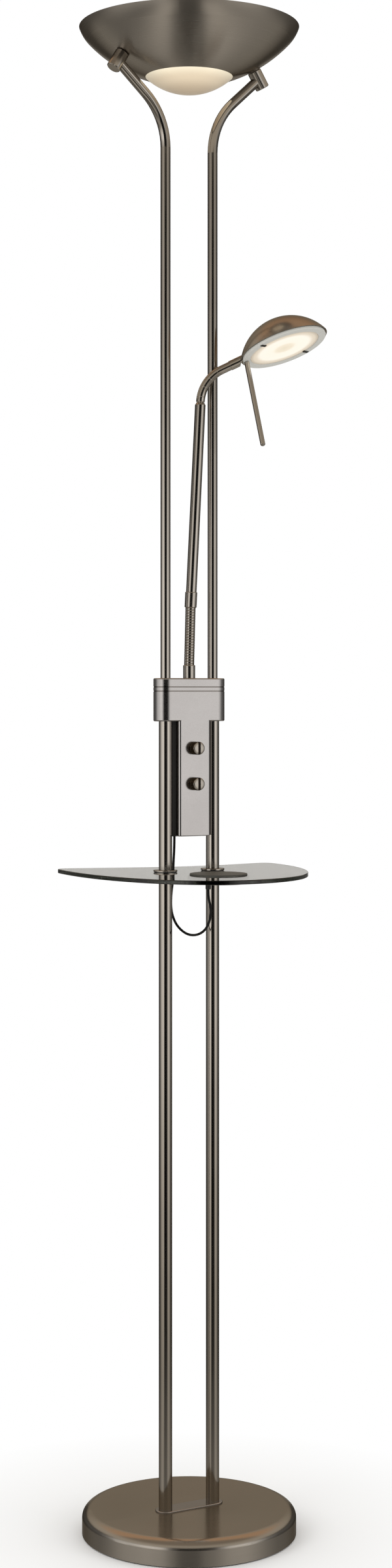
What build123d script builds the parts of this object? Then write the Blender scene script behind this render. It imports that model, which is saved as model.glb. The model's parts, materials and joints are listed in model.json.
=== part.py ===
from build123d import *
import math
import os

# Torchiere floor lamp: an uplight bowl on two poles, a reading light on a bending arm, a bracket with two
# dimmer knobs, and a smoked glass tray with a charging pad and its short cord.
# Millimetres. The origin is the middle of the foot on the floor, +Z is up, the poles stand along X and
# the knobs face -Y. The reading arm lies in an upright plane turned from X by arm_plane_turn.
# What cuts a solid runs about 1 past it, and pieces of one solid lap by about 0.5 where they join.

# ---- overall ----
lamp_height = 1800.0
pole_spacing = 65.0
arm_plane_turn = -30.0

# ---- base ----
base_radius = 128.0
base_height = 31.0
base_edge_radius = 11.0
base_wall = 1.5
base_floor_gap = 1.0
pad_inset = 6.0
pad_thickness = 2.0
weight_clearance = 0.3
foot_plate_end_radius = 12.0
foot_plate_thickness = 1.8
pole_bolt_radius = 3.95
pole_bolt_length = 43.0
pole_bolt_head_radius = 6.5
pole_bolt_head_height = 5.3
pole_bolt_recess_radius = 9.0
pole_bolt_recess_depth = 7.3
pole_plug_length = 30.0
inlet_height = 10.0
inlet_barrel_radius = 3.95
inlet_flange_radius = 6.0
inlet_flange_thickness = 1.5
inlet_bore_radius = 3.0
inlet_channel_width = 10.0
inlet_channel_top = 15.0
inlet_seat_gap = 0.05

# ---- poles ----
lower_pole_radius = 8.0
upper_pole_radius = 6.0
pole_wall = 1.2
pole_fit = 0.03
pole_bend_radius = 84.0
pole_bend_angle = 47.7

# ---- bowl ----
bowl_rim_radius = 131.6
bowl_belly_radius = 169.6
bowl_curl_run = 9.6
bowl_curl_rise = 15.5
bowl_hole_radius = 52.4
bowl_wall = 1.5
barrel_radius = 8.4
barrel_length = 23.0
barrel_centre_reach = 97.1
barrel_edge_radius = 0.8
barrel_seat_gap = 0.3
barrel_screw_radius = 3.0
barrel_screw_head_radius = 6.0
barrel_screw_head_height = 3.0
barrel_screw_depth = 4.6
barrel_screw_tip_gap = 0.4
barrel_screw_seat_gap = 0.25
screw_clearance = 0.2
screw_socket_depth = 1.6
dish_bulge = 20.0
dish_wall = 3.0
dish_fit = 0.3
dish_flange_overhang = 4.6
dish_flange_thickness = 2.0
dish_seat_gap = 0.1
plate_seat_gap = 0.05
uplight_plate_radius = 62.0
uplight_plate_bore = 41.0
uplight_plate_thickness = 2.0
uplight_board_radius = 58.0
uplight_board_bore = 43.0
uplight_board_thickness = 1.6
uplight_diffuser_radius = 60.0
uplight_diffuser_wall = 2.0
uplight_diffuser_skirt = 6.0
uplight_diffuser_crown = 8.0

# ---- bracket ----
bracket_bottom = 833.5
bracket_head_bottom = 970.4
bracket_head_height = 51.4
bracket_half_depth = 14.4
bracket_edge_radius = 1.6
bracket_wall = 2.0
column_side_gap = 3.0
column_cover_depth = 8.5
column_edge_radius = 3.0
column_foot_radius = 1.2
column_overlap = 4.0
groove_depth = 0.5
groove_width = 0.9
groove_drops = (10.0, 15.0)
pole_socket_depth = 22.0
wire_way_radius = 4.5
head_cavity_wall = 7.5
head_cavity_half_depth = 10.5
head_roof = 5.8
housing_inset = 1.2
housing_rear = 14.0
housing_wall = 2.0
housing_seam = 0.1
housing_edge_radius = 2.0
screw_boss_radius = 3.5
screw_boss_inset = 12.5
screw_boss_drop = 8.4
screw_boss_gap = 0.1
housing_screw_radius = 1.45
housing_screw_depth = 12.0
housing_screw_head_radius = 2.9
housing_screw_head_height = 1.8
housing_screw_slot = 0.8
housing_screw_edge = 0.8
housing_screw_tip_gap = 1.0
control_board_side_gap = 3.5
control_board_rise = 22.5
control_board_length = 96.0
control_board_thickness = 1.6
driver_height = 8.0
driver_length = 34.0
driver_side_gaps = (3.0, 6.0)
capacitor_radius = 5.0
capacitor_height = 9.0
terminal_height = 7.0
terminal_half_width = 11.0
terminal_length = 14.0
terminal_drop = 8.0

# ---- dimmer knobs ----
knob_heights = (938.4, 895.9)
knob_radius = 7.7
knob_length = 10.0
knob_dome = 1.6
knob_gap = 0.4
spindle_radius = 2.0
spindle_fit = 0.05
spindle_reach = 12.0
spindle_end_gap = 0.5
knob_slot_width = 1.0
knob_slot_depth = 0.6
knob_back_chamfer = 0.4
dimmer_width = 15.0
dimmer_depth = 10.7
dimmer_bush_radius = 3.5
dimmer_bush_inset = 0.2
dimmer_seat_gap = 0.05

# ---- reading arm ----
ferrule_radius = 7.25
ferrule_length = 15.7
ferrule_edge = 1.0
ferrule_spigot_radius = 4.0
ferrule_nut_width = 13.0
ferrule_nut_height = 4.0
lower_neck_lean = 1.375
lower_neck_length = 68.8
lower_neck_segments = 6
rib_radius = 6.1
rib_core_radius = 5.1
ribs_per_segment = 5
rib_flank = 0.3
rib_valley = 0.8
lower_ball_radius = 4.0
neck_half_gap = 0.75
ball_fit = 0.05
neck_bore_radius = 1.8
arm_lean = 2.75
arm_collar_radius = 7.25
arm_collar_length = 18.6
arm_collar_top_edge = 0.8
arm_collar_foot_edge = 0.6
arm_tube_seat = 4.0
arm_tube_radius = 6.35
arm_tube_wall = 1.0
arm_tube_length = 224.0
arm_tip_length = 3.0
arm_tip_radius = 4.6
arm_tip_floor = 3.0
upper_neck_radius = 5.3
upper_neck_half_gap = 0.65
upper_ball_radius = 3.6
upper_neck_bend_radius = 45.0
upper_neck_end_lean = 64.5
upper_neck_curved_segments = 4
upper_neck_end_length = 11.1
upper_neck_bore_radius = 1.5
swivel_pin_radius = 3.0
swivel_pin_length = 8.0
swivel_end_gap = 0.5
swivel_fit = 0.05
swivel_seam = 0.1

# ---- reading head ----
head_stem_radius = 5.8
head_stem_length = 13.9
head_stem_lift = 0.3
stem_saddle_gap = 0.3
head_rim_radius = 54.5
head_dome_height = 34.0
head_wall = 1.5
head_pitch = 19.0
head_roll = 12.0
head_ring_width = 9.3
head_ring_inset = 2.3
head_ring_drop = 3.2
head_ring_rise = 3.0
head_ring_shoulder = 1.7
head_ring_floor = 2.1
head_ring_edge = 0.7
head_ring_lip_reach = 3.0
head_ring_lip_height = 1.0
head_ring_top_gap = 0.3
diffuser_fit = 0.4
diffuser_thickness = 2.4
diffuser_recess = 0.8
head_board_inset = 2.5
head_board_thickness = 1.6
heat_sink_inset = 5.9
heat_sink_thickness = 2.0
heat_sink_post_radius = 6.0
heat_sink_fin_count = 10
heat_sink_fin_height = 14.0
heat_sink_fin_inset = 6.0
heat_sink_fin_thickness = 1.6
heat_sink_crown_gap = 0.6
stem_spigot_radius = 2.6
stem_block_width = 10.0
stem_block_inset = 3.9
stem_block_depth = 5.6
block_clearance = 0.3
clip_angles = (-125.0, 55.0)
clip_length = 9.0
clip_width = 3.0
clip_thickness = 0.8
handle_radius = 3.0
handle_thread_radius = 1.6
handle_length = 108.0
handle_inset = 6.2
handle_fit = 0.03
handle_seat_gap = 0.2
handle_thread_length = 3.0
handle_tip_edge = 2.4
handle_shoulder_edge = 0.6
handle_direction = (0.176, -0.246, -0.953)

# ---- tray ----
tray_top = 791.0
tray_thickness = 5.0
tray_corner_radius = 12.0
tray_back_edge = ((-118.0, 121.0), (-58.0, 101.0), (18.0, 78.0), (85.0, 76.0), (163.0, 89.0))
tray_front_edge = (
    (163.0, 89.0), (158.0, 24.0), (141.0, -34.0), (110.0, -92.0), (55.0, -143.0), (0.0, -160.0),
    (-50.0, -152.0), (-90.0, -119.0), (-117.0, -60.0), (-128.0, 15.0), (-118.0, 121.0),
)
tray_edge_chamfer = 0.6
tray_hole_clearance = 0.4
washer_thickness = 0.6
washer_radius = 13.4
flange_radius = 14.25
flange_thickness = 2.0
flange_edge = 0.6
collar_radius = 11.0
collar_height = 8.0
collar_edge = 0.6
collar_fit = 0.03
grub_radius = 2.0
grub_length = 3.6
grub_fit = 0.02
grub_tip_gap = 0.05

# ---- charging pad and its cord ----
charger_y = -69.0
charger_hole_radius = 32.0
charger_barrel_clearance = 0.3
charger_flange_radius = 36.0
charger_bottom = 781.0
charger_wall = 2.0
charger_edge = 1.5
charger_top_radius = 33.9
charger_top_thickness = 1.6
charger_top_edge = 0.7
hub_gap = 2.0
hub_bore = 3.0
hub_rise = 0.4
charger_seat_gap = 0.05
coil_drop = 3.0
coil_post_half_width = 2.0
coil_post_reach = 14.0
coil_post_half_length = 10.0
coil_inner_radius = 8.0
coil_outer_radius = 22.0
coil_thickness = 1.2
cord_radius = 1.5
cord_exit = (-14.5, 10.2)
cord_bush_radius = 2.6
cord_bush_flange_radius = 3.4
cord_bush_flange_thickness = 1.0
cord_bush_roof = 1.0
cord_fit = 0.03
cord_hole = (-16.4, 10.6)
cord_hole_radius = 3.6
grommet_flange_radius = 4.4
grommet_flange_thickness = 0.8
grommet_bore_radius = 2.3
grommet_fit = 0.05
plug_y = -45.0
plug_radius = 3.2
plug_tip_radius = 2.3
plug_length = 9.0
plug_edge = 1.2
plug_fit = 0.02
# The cord from the bracket down to the tray, as places on the floor plan with a height.
cord_drop = ((cord_exit[0], cord_exit[1], 834.5), (-14.5, 10.2, 820.0), (-15.7, 10.5, 801.0))
# The loop under the tray: distance from the tray's cord hole towards the plug, and height.
cord_loop = (
    (0.2, 779.5), (-3.2, 761.0), (-3.0, 744.0), (2.8, 730.5), (12.5, 721.5), (26.0, 716.0),
    (41.0, 717.0), (54.0, 724.0), (61.5, 737.0), (62.8, 750.0), (58.0, 762.5), (58.0, 772.0),
)


# ---- helpers ----
def disc(radius, bottom, height, x=0.0, y=0.0):
    """An upright cylinder from its lower face."""
    return Pos(x, y, bottom) * Cylinder(radius, height, align=(Align.CENTER, Align.CENTER, Align.MIN))


def ring(radius, bore, bottom, height, x=0.0, y=0.0):
    """An upright tube from its lower face."""
    return disc(radius, bottom, height, x, y) - disc(bore, bottom - 1, height + 2, x, y)


def block(x_span, y_span, z_span):
    """A box given by its limits on each axis."""
    size = [high - low for low, high in (x_span, y_span, z_span)]
    centre = [(high + low) / 2 for low, high in (x_span, y_span, z_span)]
    return Pos(*centre) * Box(*size)


def stadium(end_radius, bottom, height):
    """An upright slab with round ends centred on the two poles."""
    outline = SlotCenterToCenter(pole_spacing, 2 * end_radius)
    return Pos(0, 0, bottom) * extrude(outline, height)


def rod(start, direction, radius, length):
    """A round bar from a point along a direction."""
    return Plane(origin=start, z_dir=direction).location * disc(radius, 0, length)


def hexagon(across_flats, bottom, height, x, y):
    outline = RegularPolygon(across_flats / 2, 6, major_radius=False)
    return Pos(x, y, bottom) * extrude(outline, height)


def group(solids):
    """Separate solids that share a node."""
    return Part() + list(solids)


def on_poles(make):
    """The same piece at the left and the right pole, as separate solids."""
    return group([make(-pole_spacing / 2), make(pole_spacing / 2)])


def lean_vector(lean):
    """Unit vector in the arm's plane, leaning from upright towards the reading head."""
    return Vector(math.sin(math.radians(lean)), 0, math.cos(math.radians(lean)))


def neck_plane(point, lean):
    """Plane square to the arm at a point of its line; its Y is square to the arm's own plane."""
    along = lean_vector(lean)
    return Plane(origin=point, x_dir=(along.Z, 0, -along.X), z_dir=along)


def turn_to_lamp(shape):
    """From the arm's own upright plane to the lamp's axes."""
    return Rot(0, 0, arm_plane_turn) * shape


pole_x = pole_spacing / 2
column_width = pole_spacing - 2 * lower_pole_radius - 2 * column_side_gap
head_cavity_half_width = pole_x - lower_pole_radius - head_cavity_wall
screw_boss_heights = (bracket_bottom + screw_boss_inset, bracket_head_bottom - screw_boss_drop)
control_board_half_width = column_width / 2 - bracket_wall - control_board_side_gap
control_board_bottom = bracket_bottom + control_board_rise
control_board_top = control_board_bottom + control_board_length
head_ring_radius = head_rim_radius - head_ring_inset
head_ring_bore = head_ring_radius - head_ring_width
diffuser_radius = head_ring_bore - diffuser_fit
head_board_radius = diffuser_radius - head_board_inset
heat_sink_fin_reach = head_board_radius - heat_sink_fin_inset
heat_sink_radius = head_rim_radius - heat_sink_inset
stem_block_outer = head_rim_radius - stem_block_inset
stem_block_inner = stem_block_outer - stem_block_depth
handle_reach = head_rim_radius - handle_inset
dish_flange_radius = bowl_hole_radius + dish_flange_overhang
base_top = base_height
foot_plate_top = base_top + foot_plate_thickness
bracket_top = bracket_head_bottom + bracket_head_height
front_face = -bracket_half_depth


# ---- base ----
def base_profile(radius, bottom, top, edge_radius):
    """Round solid with a softened upper edge."""
    body = disc(radius, bottom, top - bottom)
    return fillet(body.edges().group_by(Axis.Z)[-1], edge_radius)


def make_base_cover():
    outer = base_profile(base_radius, base_floor_gap, base_top, base_edge_radius)
    inner_radius = base_radius - base_wall
    inner = base_profile(inner_radius, base_floor_gap - 1, base_top - base_wall, base_edge_radius - base_wall)
    cover = outer - inner
    for x in (-pole_x, pole_x):
        cover -= disc(pole_bolt_radius + screw_clearance, 0, base_top + 1, x)
    cover -= rod((0, base_radius - 10, inlet_height), (0, 1, 0), inlet_barrel_radius + pole_fit, 20)
    return cover


def make_base_weight():
    radius = base_radius - base_wall - weight_clearance
    top = base_top - base_wall
    weight = base_profile(radius, pad_thickness, top, base_edge_radius - base_wall + 0.5)
    for x in (-pole_x, pole_x):
        weight -= disc(pole_bolt_radius + screw_clearance, 0, base_top + 1, x)
        weight -= disc(pole_bolt_recess_radius, 0, pad_thickness + pole_bolt_recess_depth, x)
    half = inlet_channel_width / 2
    weight -= block((-half, half), (-half, base_radius), (0, inlet_channel_top))
    return weight


def make_pole_bolt(x):
    seat = pad_thickness + pole_bolt_recess_depth
    head = hexagon(2 * pole_bolt_head_radius, seat - pole_bolt_head_height, pole_bolt_head_height, x, 0)
    return head + disc(pole_bolt_radius, seat - 1, pole_bolt_length + 1, x)


def make_pole_plug(x):
    radius = lower_pole_radius - pole_wall - pole_fit
    return ring(radius, pole_bolt_radius + pole_fit, base_top, pole_plug_length, x)


def make_inlet_bush():
    inside = base_radius - base_wall
    face = base_radius + inlet_seat_gap
    bush = rod((0, inside, inlet_height), (0, 1, 0), inlet_barrel_radius, face - inside + 0.5)
    bush += rod((0, face, inlet_height), (0, 1, 0), inlet_flange_radius, inlet_flange_thickness)
    return bush - rod((0, inside - 1, inlet_height), (0, 1, 0), inlet_bore_radius, 10)


def make_foot_plate():
    plate = stadium(foot_plate_end_radius, base_top, foot_plate_thickness)
    plate = fillet(plate.edges().group_by(Axis.Z)[-1], foot_plate_thickness / 2)
    for x in (-pole_x, pole_x):
        plate -= disc(lower_pole_radius + pole_fit, base_top - 1, foot_plate_thickness + 2, x)
    return plate


# ---- poles ----
def make_lower_pole(x):
    top = bracket_head_bottom + pole_socket_depth
    return ring(lower_pole_radius, lower_pole_radius - pole_wall, base_top, top - base_top, x)


belly_centre_z = lamp_height - bowl_curl_rise + math.sqrt(
    bowl_belly_radius ** 2 - (bowl_rim_radius - bowl_curl_run) ** 2
)
barrel_lean = math.asin(barrel_centre_reach / (bowl_belly_radius + barrel_seat_gap + barrel_length / 2))
barrel_out = Vector(math.sin(barrel_lean), 0, -math.cos(barrel_lean))
belly_centre = Vector(0, 0, belly_centre_z)
barrel_root = belly_centre + barrel_out * (bowl_belly_radius + barrel_seat_gap)
barrel_centre = barrel_root + barrel_out * (barrel_length / 2)


pole_turn = math.radians(pole_bend_angle)
bend_end_x = pole_x + pole_bend_radius * (1 - math.cos(pole_turn))
bend_to_barrel = (barrel_centre.X - bend_end_x) / math.sin(pole_turn)
bend_end_z = barrel_centre.Z - bend_to_barrel * math.cos(pole_turn)
pole_bend_start = bend_end_z - pole_bend_radius * math.sin(pole_turn)


def upper_pole_solid(radius, overshoot=0.0):
    """Right-hand upper pole: upright, one bend outwards, then straight into its barrel."""
    bottom = bracket_top - pole_socket_depth
    straight = bend_to_barrel - upper_pole_radius / 2 + overshoot
    section = Pos(pole_x, 0, bottom) * Circle(radius)
    upright = extrude(section, pole_bend_start - bottom)
    bend_face = Pos(pole_x, 0, pole_bend_start) * Circle(radius)
    bend_axis = Axis((pole_x + pole_bend_radius, 0, pole_bend_start), (0, 1, 0))
    bend = revolve(bend_face, bend_axis, pole_bend_angle)
    tip = rod((bend_end_x, 0, bend_end_z), (math.sin(pole_turn), 0, math.cos(pole_turn)), radius, straight)
    return upright + bend + tip


def make_upper_pole_right():
    return upper_pole_solid(upper_pole_radius) - upper_pole_solid(upper_pole_radius - pole_wall, 1.0)


# ---- bowl ----
def bowl_section(inset):
    """Points of the bowl's half section, inset from its outside: hole edge, shoulder, rim."""
    belly = bowl_belly_radius - inset
    shoulder_lean = math.asin((bowl_rim_radius - bowl_curl_run) / bowl_belly_radius)
    normal = (math.sin(shoulder_lean), -math.cos(shoulder_lean))
    sink = -bowl_curl_run * normal[0] - bowl_curl_rise * normal[1]
    curl_radius = (bowl_curl_run ** 2 + bowl_curl_rise ** 2) / (2 * sink)
    shoulder = (bowl_rim_radius - bowl_curl_run, lamp_height - bowl_curl_rise)
    curl_centre = (shoulder[0] - curl_radius * normal[0], shoulder[1] - curl_radius * normal[1])
    rim_lean = math.atan2(lamp_height - curl_centre[1], bowl_rim_radius - curl_centre[0])
    shoulder_angle = math.atan2(normal[1], normal[0])

    def on_curl(angle):
        reach = curl_radius - inset
        return (curl_centre[0] + reach * math.cos(angle), 0, curl_centre[1] + reach * math.sin(angle))

    def on_belly(lean):
        return (belly * math.sin(lean), 0, belly_centre_z - belly * math.cos(lean))

    hole_lean = math.asin(bowl_hole_radius / belly)
    lower = (on_belly(hole_lean), on_belly((hole_lean + shoulder_lean) / 2), on_belly(shoulder_lean))
    upper = (on_curl(shoulder_angle), on_curl((shoulder_angle + rim_lean) / 2), on_curl(rim_lean))
    return lower, upper


def make_bowl():
    lower_out, upper_out = bowl_section(0)
    lower_in, upper_in = bowl_section(bowl_wall)
    outline = [
        ThreePointArc(*lower_out),
        ThreePointArc(*upper_out),
        Line(upper_out[2], upper_in[2]),
        ThreePointArc(*upper_in),
        ThreePointArc(*lower_in),
        Line(lower_in[0], lower_out[0]),
    ]
    shell = revolve(make_face(outline), Axis.Z)
    shell -= disc(2 * bowl_rim_radius, lamp_height, 5)
    for side in (-1, 1):
        way = Vector(side * barrel_out.X, 0, barrel_out.Z)
        start = belly_centre + way * (bowl_belly_radius - 4 * bowl_wall)
        shell -= rod(start, way, barrel_screw_radius + screw_clearance, 8 * bowl_wall)
    return shell


def make_barrel_right():
    barrel = rod(barrel_root, barrel_out, barrel_radius, barrel_length)
    barrel = chamfer(barrel.edges().filter_by(GeomType.CIRCLE), barrel_edge_radius)
    barrel -= upper_pole_solid(upper_pole_radius + pole_fit, pole_fit)
    return barrel - rod(barrel_root, barrel_out, barrel_screw_radius + pole_fit, barrel_screw_depth)


def make_barrel_screw_right():
    seat = bowl_belly_radius - bowl_wall - barrel_screw_seat_gap
    tip = bowl_belly_radius + barrel_seat_gap + barrel_screw_depth - barrel_screw_tip_gap
    shank = rod(belly_centre + barrel_out * (seat - 1), barrel_out, barrel_screw_radius, tip - seat + 1)
    head = rod(belly_centre + barrel_out * (seat - barrel_screw_head_height), barrel_out,
               barrel_screw_head_radius, barrel_screw_head_height)
    return head + shank - rod(belly_centre + barrel_out * (seat - barrel_screw_head_height - 1), barrel_out,
                              barrel_screw_radius * 0.8, screw_socket_depth + 1)


def bowl_inside_height(radius):
    """Height of the bowl's inner face at a radius."""
    return belly_centre_z - math.sqrt((bowl_belly_radius - bowl_wall) ** 2 - radius ** 2)


bowl_bottom_z = belly_centre_z - math.sqrt(bowl_belly_radius ** 2 - bowl_hole_radius ** 2)
dish_radius = bowl_hole_radius - dish_fit
dish_flange_z = bowl_inside_height(dish_flange_radius) + dish_seat_gap
dish_top_z = dish_flange_z + dish_flange_thickness


def make_frosted_dish():
    """Frosted glass dish that hangs through the bowl's hole by its flange."""
    sphere = (dish_radius ** 2 + dish_bulge ** 2) / (2 * dish_bulge)
    centre_z = bowl_bottom_z - dish_bulge + sphere
    cap = Pos(0, 0, centre_z) * Sphere(sphere) & disc(2 * dish_radius, centre_z - sphere - 1, dish_bulge + 1)
    hollow = Pos(0, 0, centre_z) * Sphere(sphere - dish_wall)
    neck = disc(dish_radius, bowl_bottom_z - 0.01, dish_top_z - bowl_bottom_z + 0.01)
    body = cap + neck + disc(dish_flange_radius, dish_flange_z, dish_flange_thickness)
    cavity = hollow & disc(dish_radius, centre_z - sphere, dish_top_z + 1 - centre_z + sphere)
    return body - cavity - disc(dish_radius - dish_wall, bowl_bottom_z, dish_top_z - bowl_bottom_z + 1)


def make_uplight_diffuser(bottom):
    radius = uplight_diffuser_radius
    skirt = disc(radius, bottom, uplight_diffuser_skirt)
    sphere = (radius ** 2 + uplight_diffuser_crown ** 2) / (2 * uplight_diffuser_crown)
    top = bottom + uplight_diffuser_skirt + uplight_diffuser_crown
    crown = Pos(0, 0, top - sphere) * Sphere(sphere) & disc(radius, bottom, top - bottom)
    wall = uplight_diffuser_wall
    inner = Pos(0, 0, top - sphere) * Sphere(sphere - wall)
    inner = inner & disc(radius - wall, bottom - 1, top - bottom + 1)
    return skirt + crown - inner


# ---- bracket ----
def make_bracket_cover():
    head = stadium(bracket_half_depth, bracket_head_bottom, bracket_head_height)
    head = fillet(head.edges().group_by(Axis.Z)[-1] + head.edges().group_by(Axis.Z)[0], bracket_edge_radius)
    half = column_width / 2
    cover_rear = front_face + column_cover_depth
    column_top = bracket_head_bottom + column_overlap
    column = block((-half, half), (front_face, cover_rear), (bracket_bottom, column_top))
    column = fillet(column.edges().filter_by(Axis.Z).group_by(Axis.Y)[0], column_edge_radius)
    foot_edge = column.edges().filter_by(GeomType.LINE).group_by(Axis.Z)[0].sort_by(Axis.Y)[:1]
    column = fillet(foot_edge, column_foot_radius)
    casting = head + column
    casting -= block(
        (-half + bracket_wall, half - bracket_wall),
        (front_face + bracket_wall, cover_rear + 0.01),
        (bracket_bottom + bracket_wall, bracket_head_bottom),
    )
    cavity_top = bracket_top - head_roof
    casting -= block(
        (-head_cavity_half_width, head_cavity_half_width),
        (-head_cavity_half_depth, head_cavity_half_depth),
        (bracket_head_bottom - 0.01, cavity_top),
    )
    for x in (-pole_x, pole_x):
        casting -= disc(lower_pole_radius + pole_fit, bracket_head_bottom - 1, pole_socket_depth + 1, x)
        socket_bottom = bracket_top - pole_socket_depth
        casting -= disc(upper_pole_radius + pole_fit, socket_bottom, pole_socket_depth + 1, x)
        casting -= disc(wire_way_radius, bracket_head_bottom, bracket_head_height, x)
    casting -= disc(ferrule_spigot_radius + pole_fit, cavity_top - 1, head_roof + 2)
    groove_core = stadium(bracket_half_depth - groove_depth, bracket_head_bottom, bracket_head_height)
    for drop in groove_drops:
        groove = stadium(bracket_half_depth + 1, bracket_top - drop - groove_width, groove_width)
        casting -= groove - groove_core
    for height in knob_heights:
        start = (0, front_face - 1, height)
        casting -= rod(start, (0, 1, 0), dimmer_bush_radius + pole_fit, bracket_wall + 2)
    boss_end = housing_rear - housing_wall - screw_boss_gap
    for height in screw_boss_heights:
        start = front_face + bracket_wall - 0.01
        casting += rod((0, start, height), (0, 1, 0), screw_boss_radius, boss_end - start)
        hole_start = (0, boss_end - housing_screw_depth, height)
        casting -= rod(hole_start, (0, 1, 0), housing_screw_radius + pole_fit, housing_screw_depth + 1)
    return casting


def make_rear_housing():
    half = column_width / 2 - housing_inset
    front = front_face + column_cover_depth
    top = bracket_head_bottom - housing_seam
    housing = block((-half, half), (front, housing_rear), (bracket_bottom, top))
    housing = fillet(housing.edges().filter_by(Axis.Z).group_by(Axis.Y)[-1], housing_edge_radius)
    housing -= block(
        (-half + housing_wall, half - housing_wall),
        (front - 1, housing_rear - housing_wall),
        (bracket_bottom + housing_wall, top - housing_wall),
    )
    for height in screw_boss_heights:
        housing -= rod((0, 0, height), (0, 1, 0), housing_screw_radius + screw_clearance, housing_rear + 1)
    return housing - disc(cord_bush_radius + cord_fit, bracket_bottom - 1, housing_wall + 2, *cord_exit)


def make_housing_screw(height):
    head = rod((0, housing_rear, height), (0, 1, 0), housing_screw_head_radius, housing_screw_head_height)
    head = fillet(head.edges().filter_by(GeomType.CIRCLE).group_by(Axis.Y)[-1], housing_screw_edge)
    length = housing_wall + housing_screw_depth - housing_screw_tip_gap
    shank = rod((0, housing_rear - length, height), (0, 1, 0), housing_screw_radius, length + 0.5)
    reach = housing_screw_head_radius
    slot_floor = housing_rear + housing_screw_head_height / 2
    half = housing_screw_slot / 2
    slot = block((-reach, reach), (slot_floor, housing_rear + 3), (height - half, height + half))
    return head + shank - slot


dimmer_front = front_face + bracket_wall + dimmer_seat_gap
dimmer_rear = dimmer_front + dimmer_depth


def make_dimmer_unit(height):
    half = dimmer_width / 2
    case = block((-half, half), (dimmer_front, dimmer_rear), (height - half, height + half))
    bush_face = front_face + dimmer_bush_inset
    case += rod((0, bush_face, height), (0, 1, 0), dimmer_bush_radius, bracket_wall)
    return case - rod((0, front_face - 1, height), (0, 1, 0), spindle_radius + spindle_fit, spindle_reach)


def make_knob(height):
    """Knob with a domed, slotted face and its spindle, which turns in the dimmer's bush."""
    back = front_face - knob_gap
    tip = back - knob_length
    knob = rod((0, back, height), (0, -1, 0), knob_radius, knob_length)
    knob = fillet(knob.edges().filter_by(GeomType.CIRCLE).group_by(Axis.Y)[0], knob_dome)
    knob = chamfer(knob.edges().filter_by(GeomType.CIRCLE).group_by(Axis.Y)[-1], knob_back_chamfer)
    half_slot = knob_slot_width / 2
    slot_span = (height - knob_radius, height + knob_radius)
    knob -= block((-half_slot, half_slot), (tip - 1, tip + knob_slot_depth), slot_span)
    spindle_end = front_face - 1 + spindle_reach - spindle_end_gap
    return knob + rod((0, spindle_end, height), (0, -1, 0), spindle_radius, spindle_end - back + 1)


def make_control_board():
    """Board behind the dimmers with its driver, two capacitors and a terminal block."""
    back = dimmer_rear + control_board_thickness
    root = back - 0.5
    half = control_board_half_width
    board = block((-half, half), (dimmer_rear, back), (control_board_bottom, control_board_top))
    driver_bottom = control_board_bottom + capacitor_radius
    driver_top = driver_bottom + driver_length
    driver_span = (-half + driver_side_gaps[0], half - driver_side_gaps[1])
    board += block(driver_span, (root, back + driver_height), (driver_bottom, driver_top))
    for x in (-1.5 * capacitor_radius, 1.5 * capacitor_radius):
        centre = (x, root, driver_top + 2 * capacitor_radius)
        board += rod(centre, (0, 1, 0), capacitor_radius, capacitor_height + 0.5)
    half = terminal_half_width
    terminal_top = control_board_top - terminal_drop
    terminal_span = (terminal_top - terminal_length, terminal_top)
    return board + block((-half, half), (root, back + terminal_height), terminal_span)


# ---- bending necks ----
lower_pivot_step = (lower_neck_length - 2 * neck_half_gap) / lower_neck_segments
neck_foot = Vector(0, 0, bracket_top + ferrule_length)
lower_first_pivot = neck_foot + lean_vector(lower_neck_lean) * neck_half_gap


def lower_pivot(index):
    return lower_first_pivot + lean_vector(lower_neck_lean) * (lower_pivot_step * index)


def make_ferrule():
    body = disc(ferrule_radius, bracket_top, ferrule_length)
    body = fillet(body.edges().group_by(Axis.Z)[-1], ferrule_edge)
    nut_bottom = bracket_top - head_roof - ferrule_nut_height
    body += disc(ferrule_spigot_radius, nut_bottom, bracket_top - nut_bottom + 1)
    body += hexagon(ferrule_nut_width, nut_bottom, ferrule_nut_height, 0, 0)
    body += Pos(*lower_pivot(0)) * Sphere(lower_ball_radius)
    return body - disc(neck_bore_radius, nut_bottom - 1, 3 * ferrule_length)


def ribbed_segment():
    """One link of the lower neck, upright, from its lower pivot at z = 0 to the next pivot's ball."""
    foot = neck_half_gap
    top = lower_pivot_step - neck_half_gap
    pitch = (top - foot + rib_valley) / ribs_per_segment
    sections = []
    for rib in range(ribs_per_segment):
        start = foot + rib * pitch
        end = start + pitch - rib_valley
        sections += [(start, rib_core_radius), (start + rib_flank, rib_radius)]
        sections += [(end - rib_flank, rib_radius), (end, rib_core_radius)]
    link = loft([Pos(0, 0, z) * Circle(radius) for z, radius in sections], ruled=True)
    link += Pos(0, 0, lower_pivot_step) * Sphere(lower_ball_radius)
    link -= Sphere(lower_ball_radius + ball_fit)
    return link - disc(neck_bore_radius, -1, lower_pivot_step + 10)


def make_lower_neck(index):
    return neck_plane(lower_pivot(index), lower_neck_lean).location * ribbed_segment()


arm_pivot = lower_pivot(lower_neck_segments)
arm_along = lean_vector(arm_lean)
arm_foot = arm_pivot + arm_along * neck_half_gap
arm_tube_full = arm_collar_length - arm_tube_seat + arm_tube_length
arm_tube_start = arm_foot + arm_along * arm_tube_seat
arm_tube_end = arm_tube_start + arm_along * arm_tube_full
upper_first_pivot = arm_tube_end + arm_along * (arm_tip_length + upper_neck_half_gap)


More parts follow.
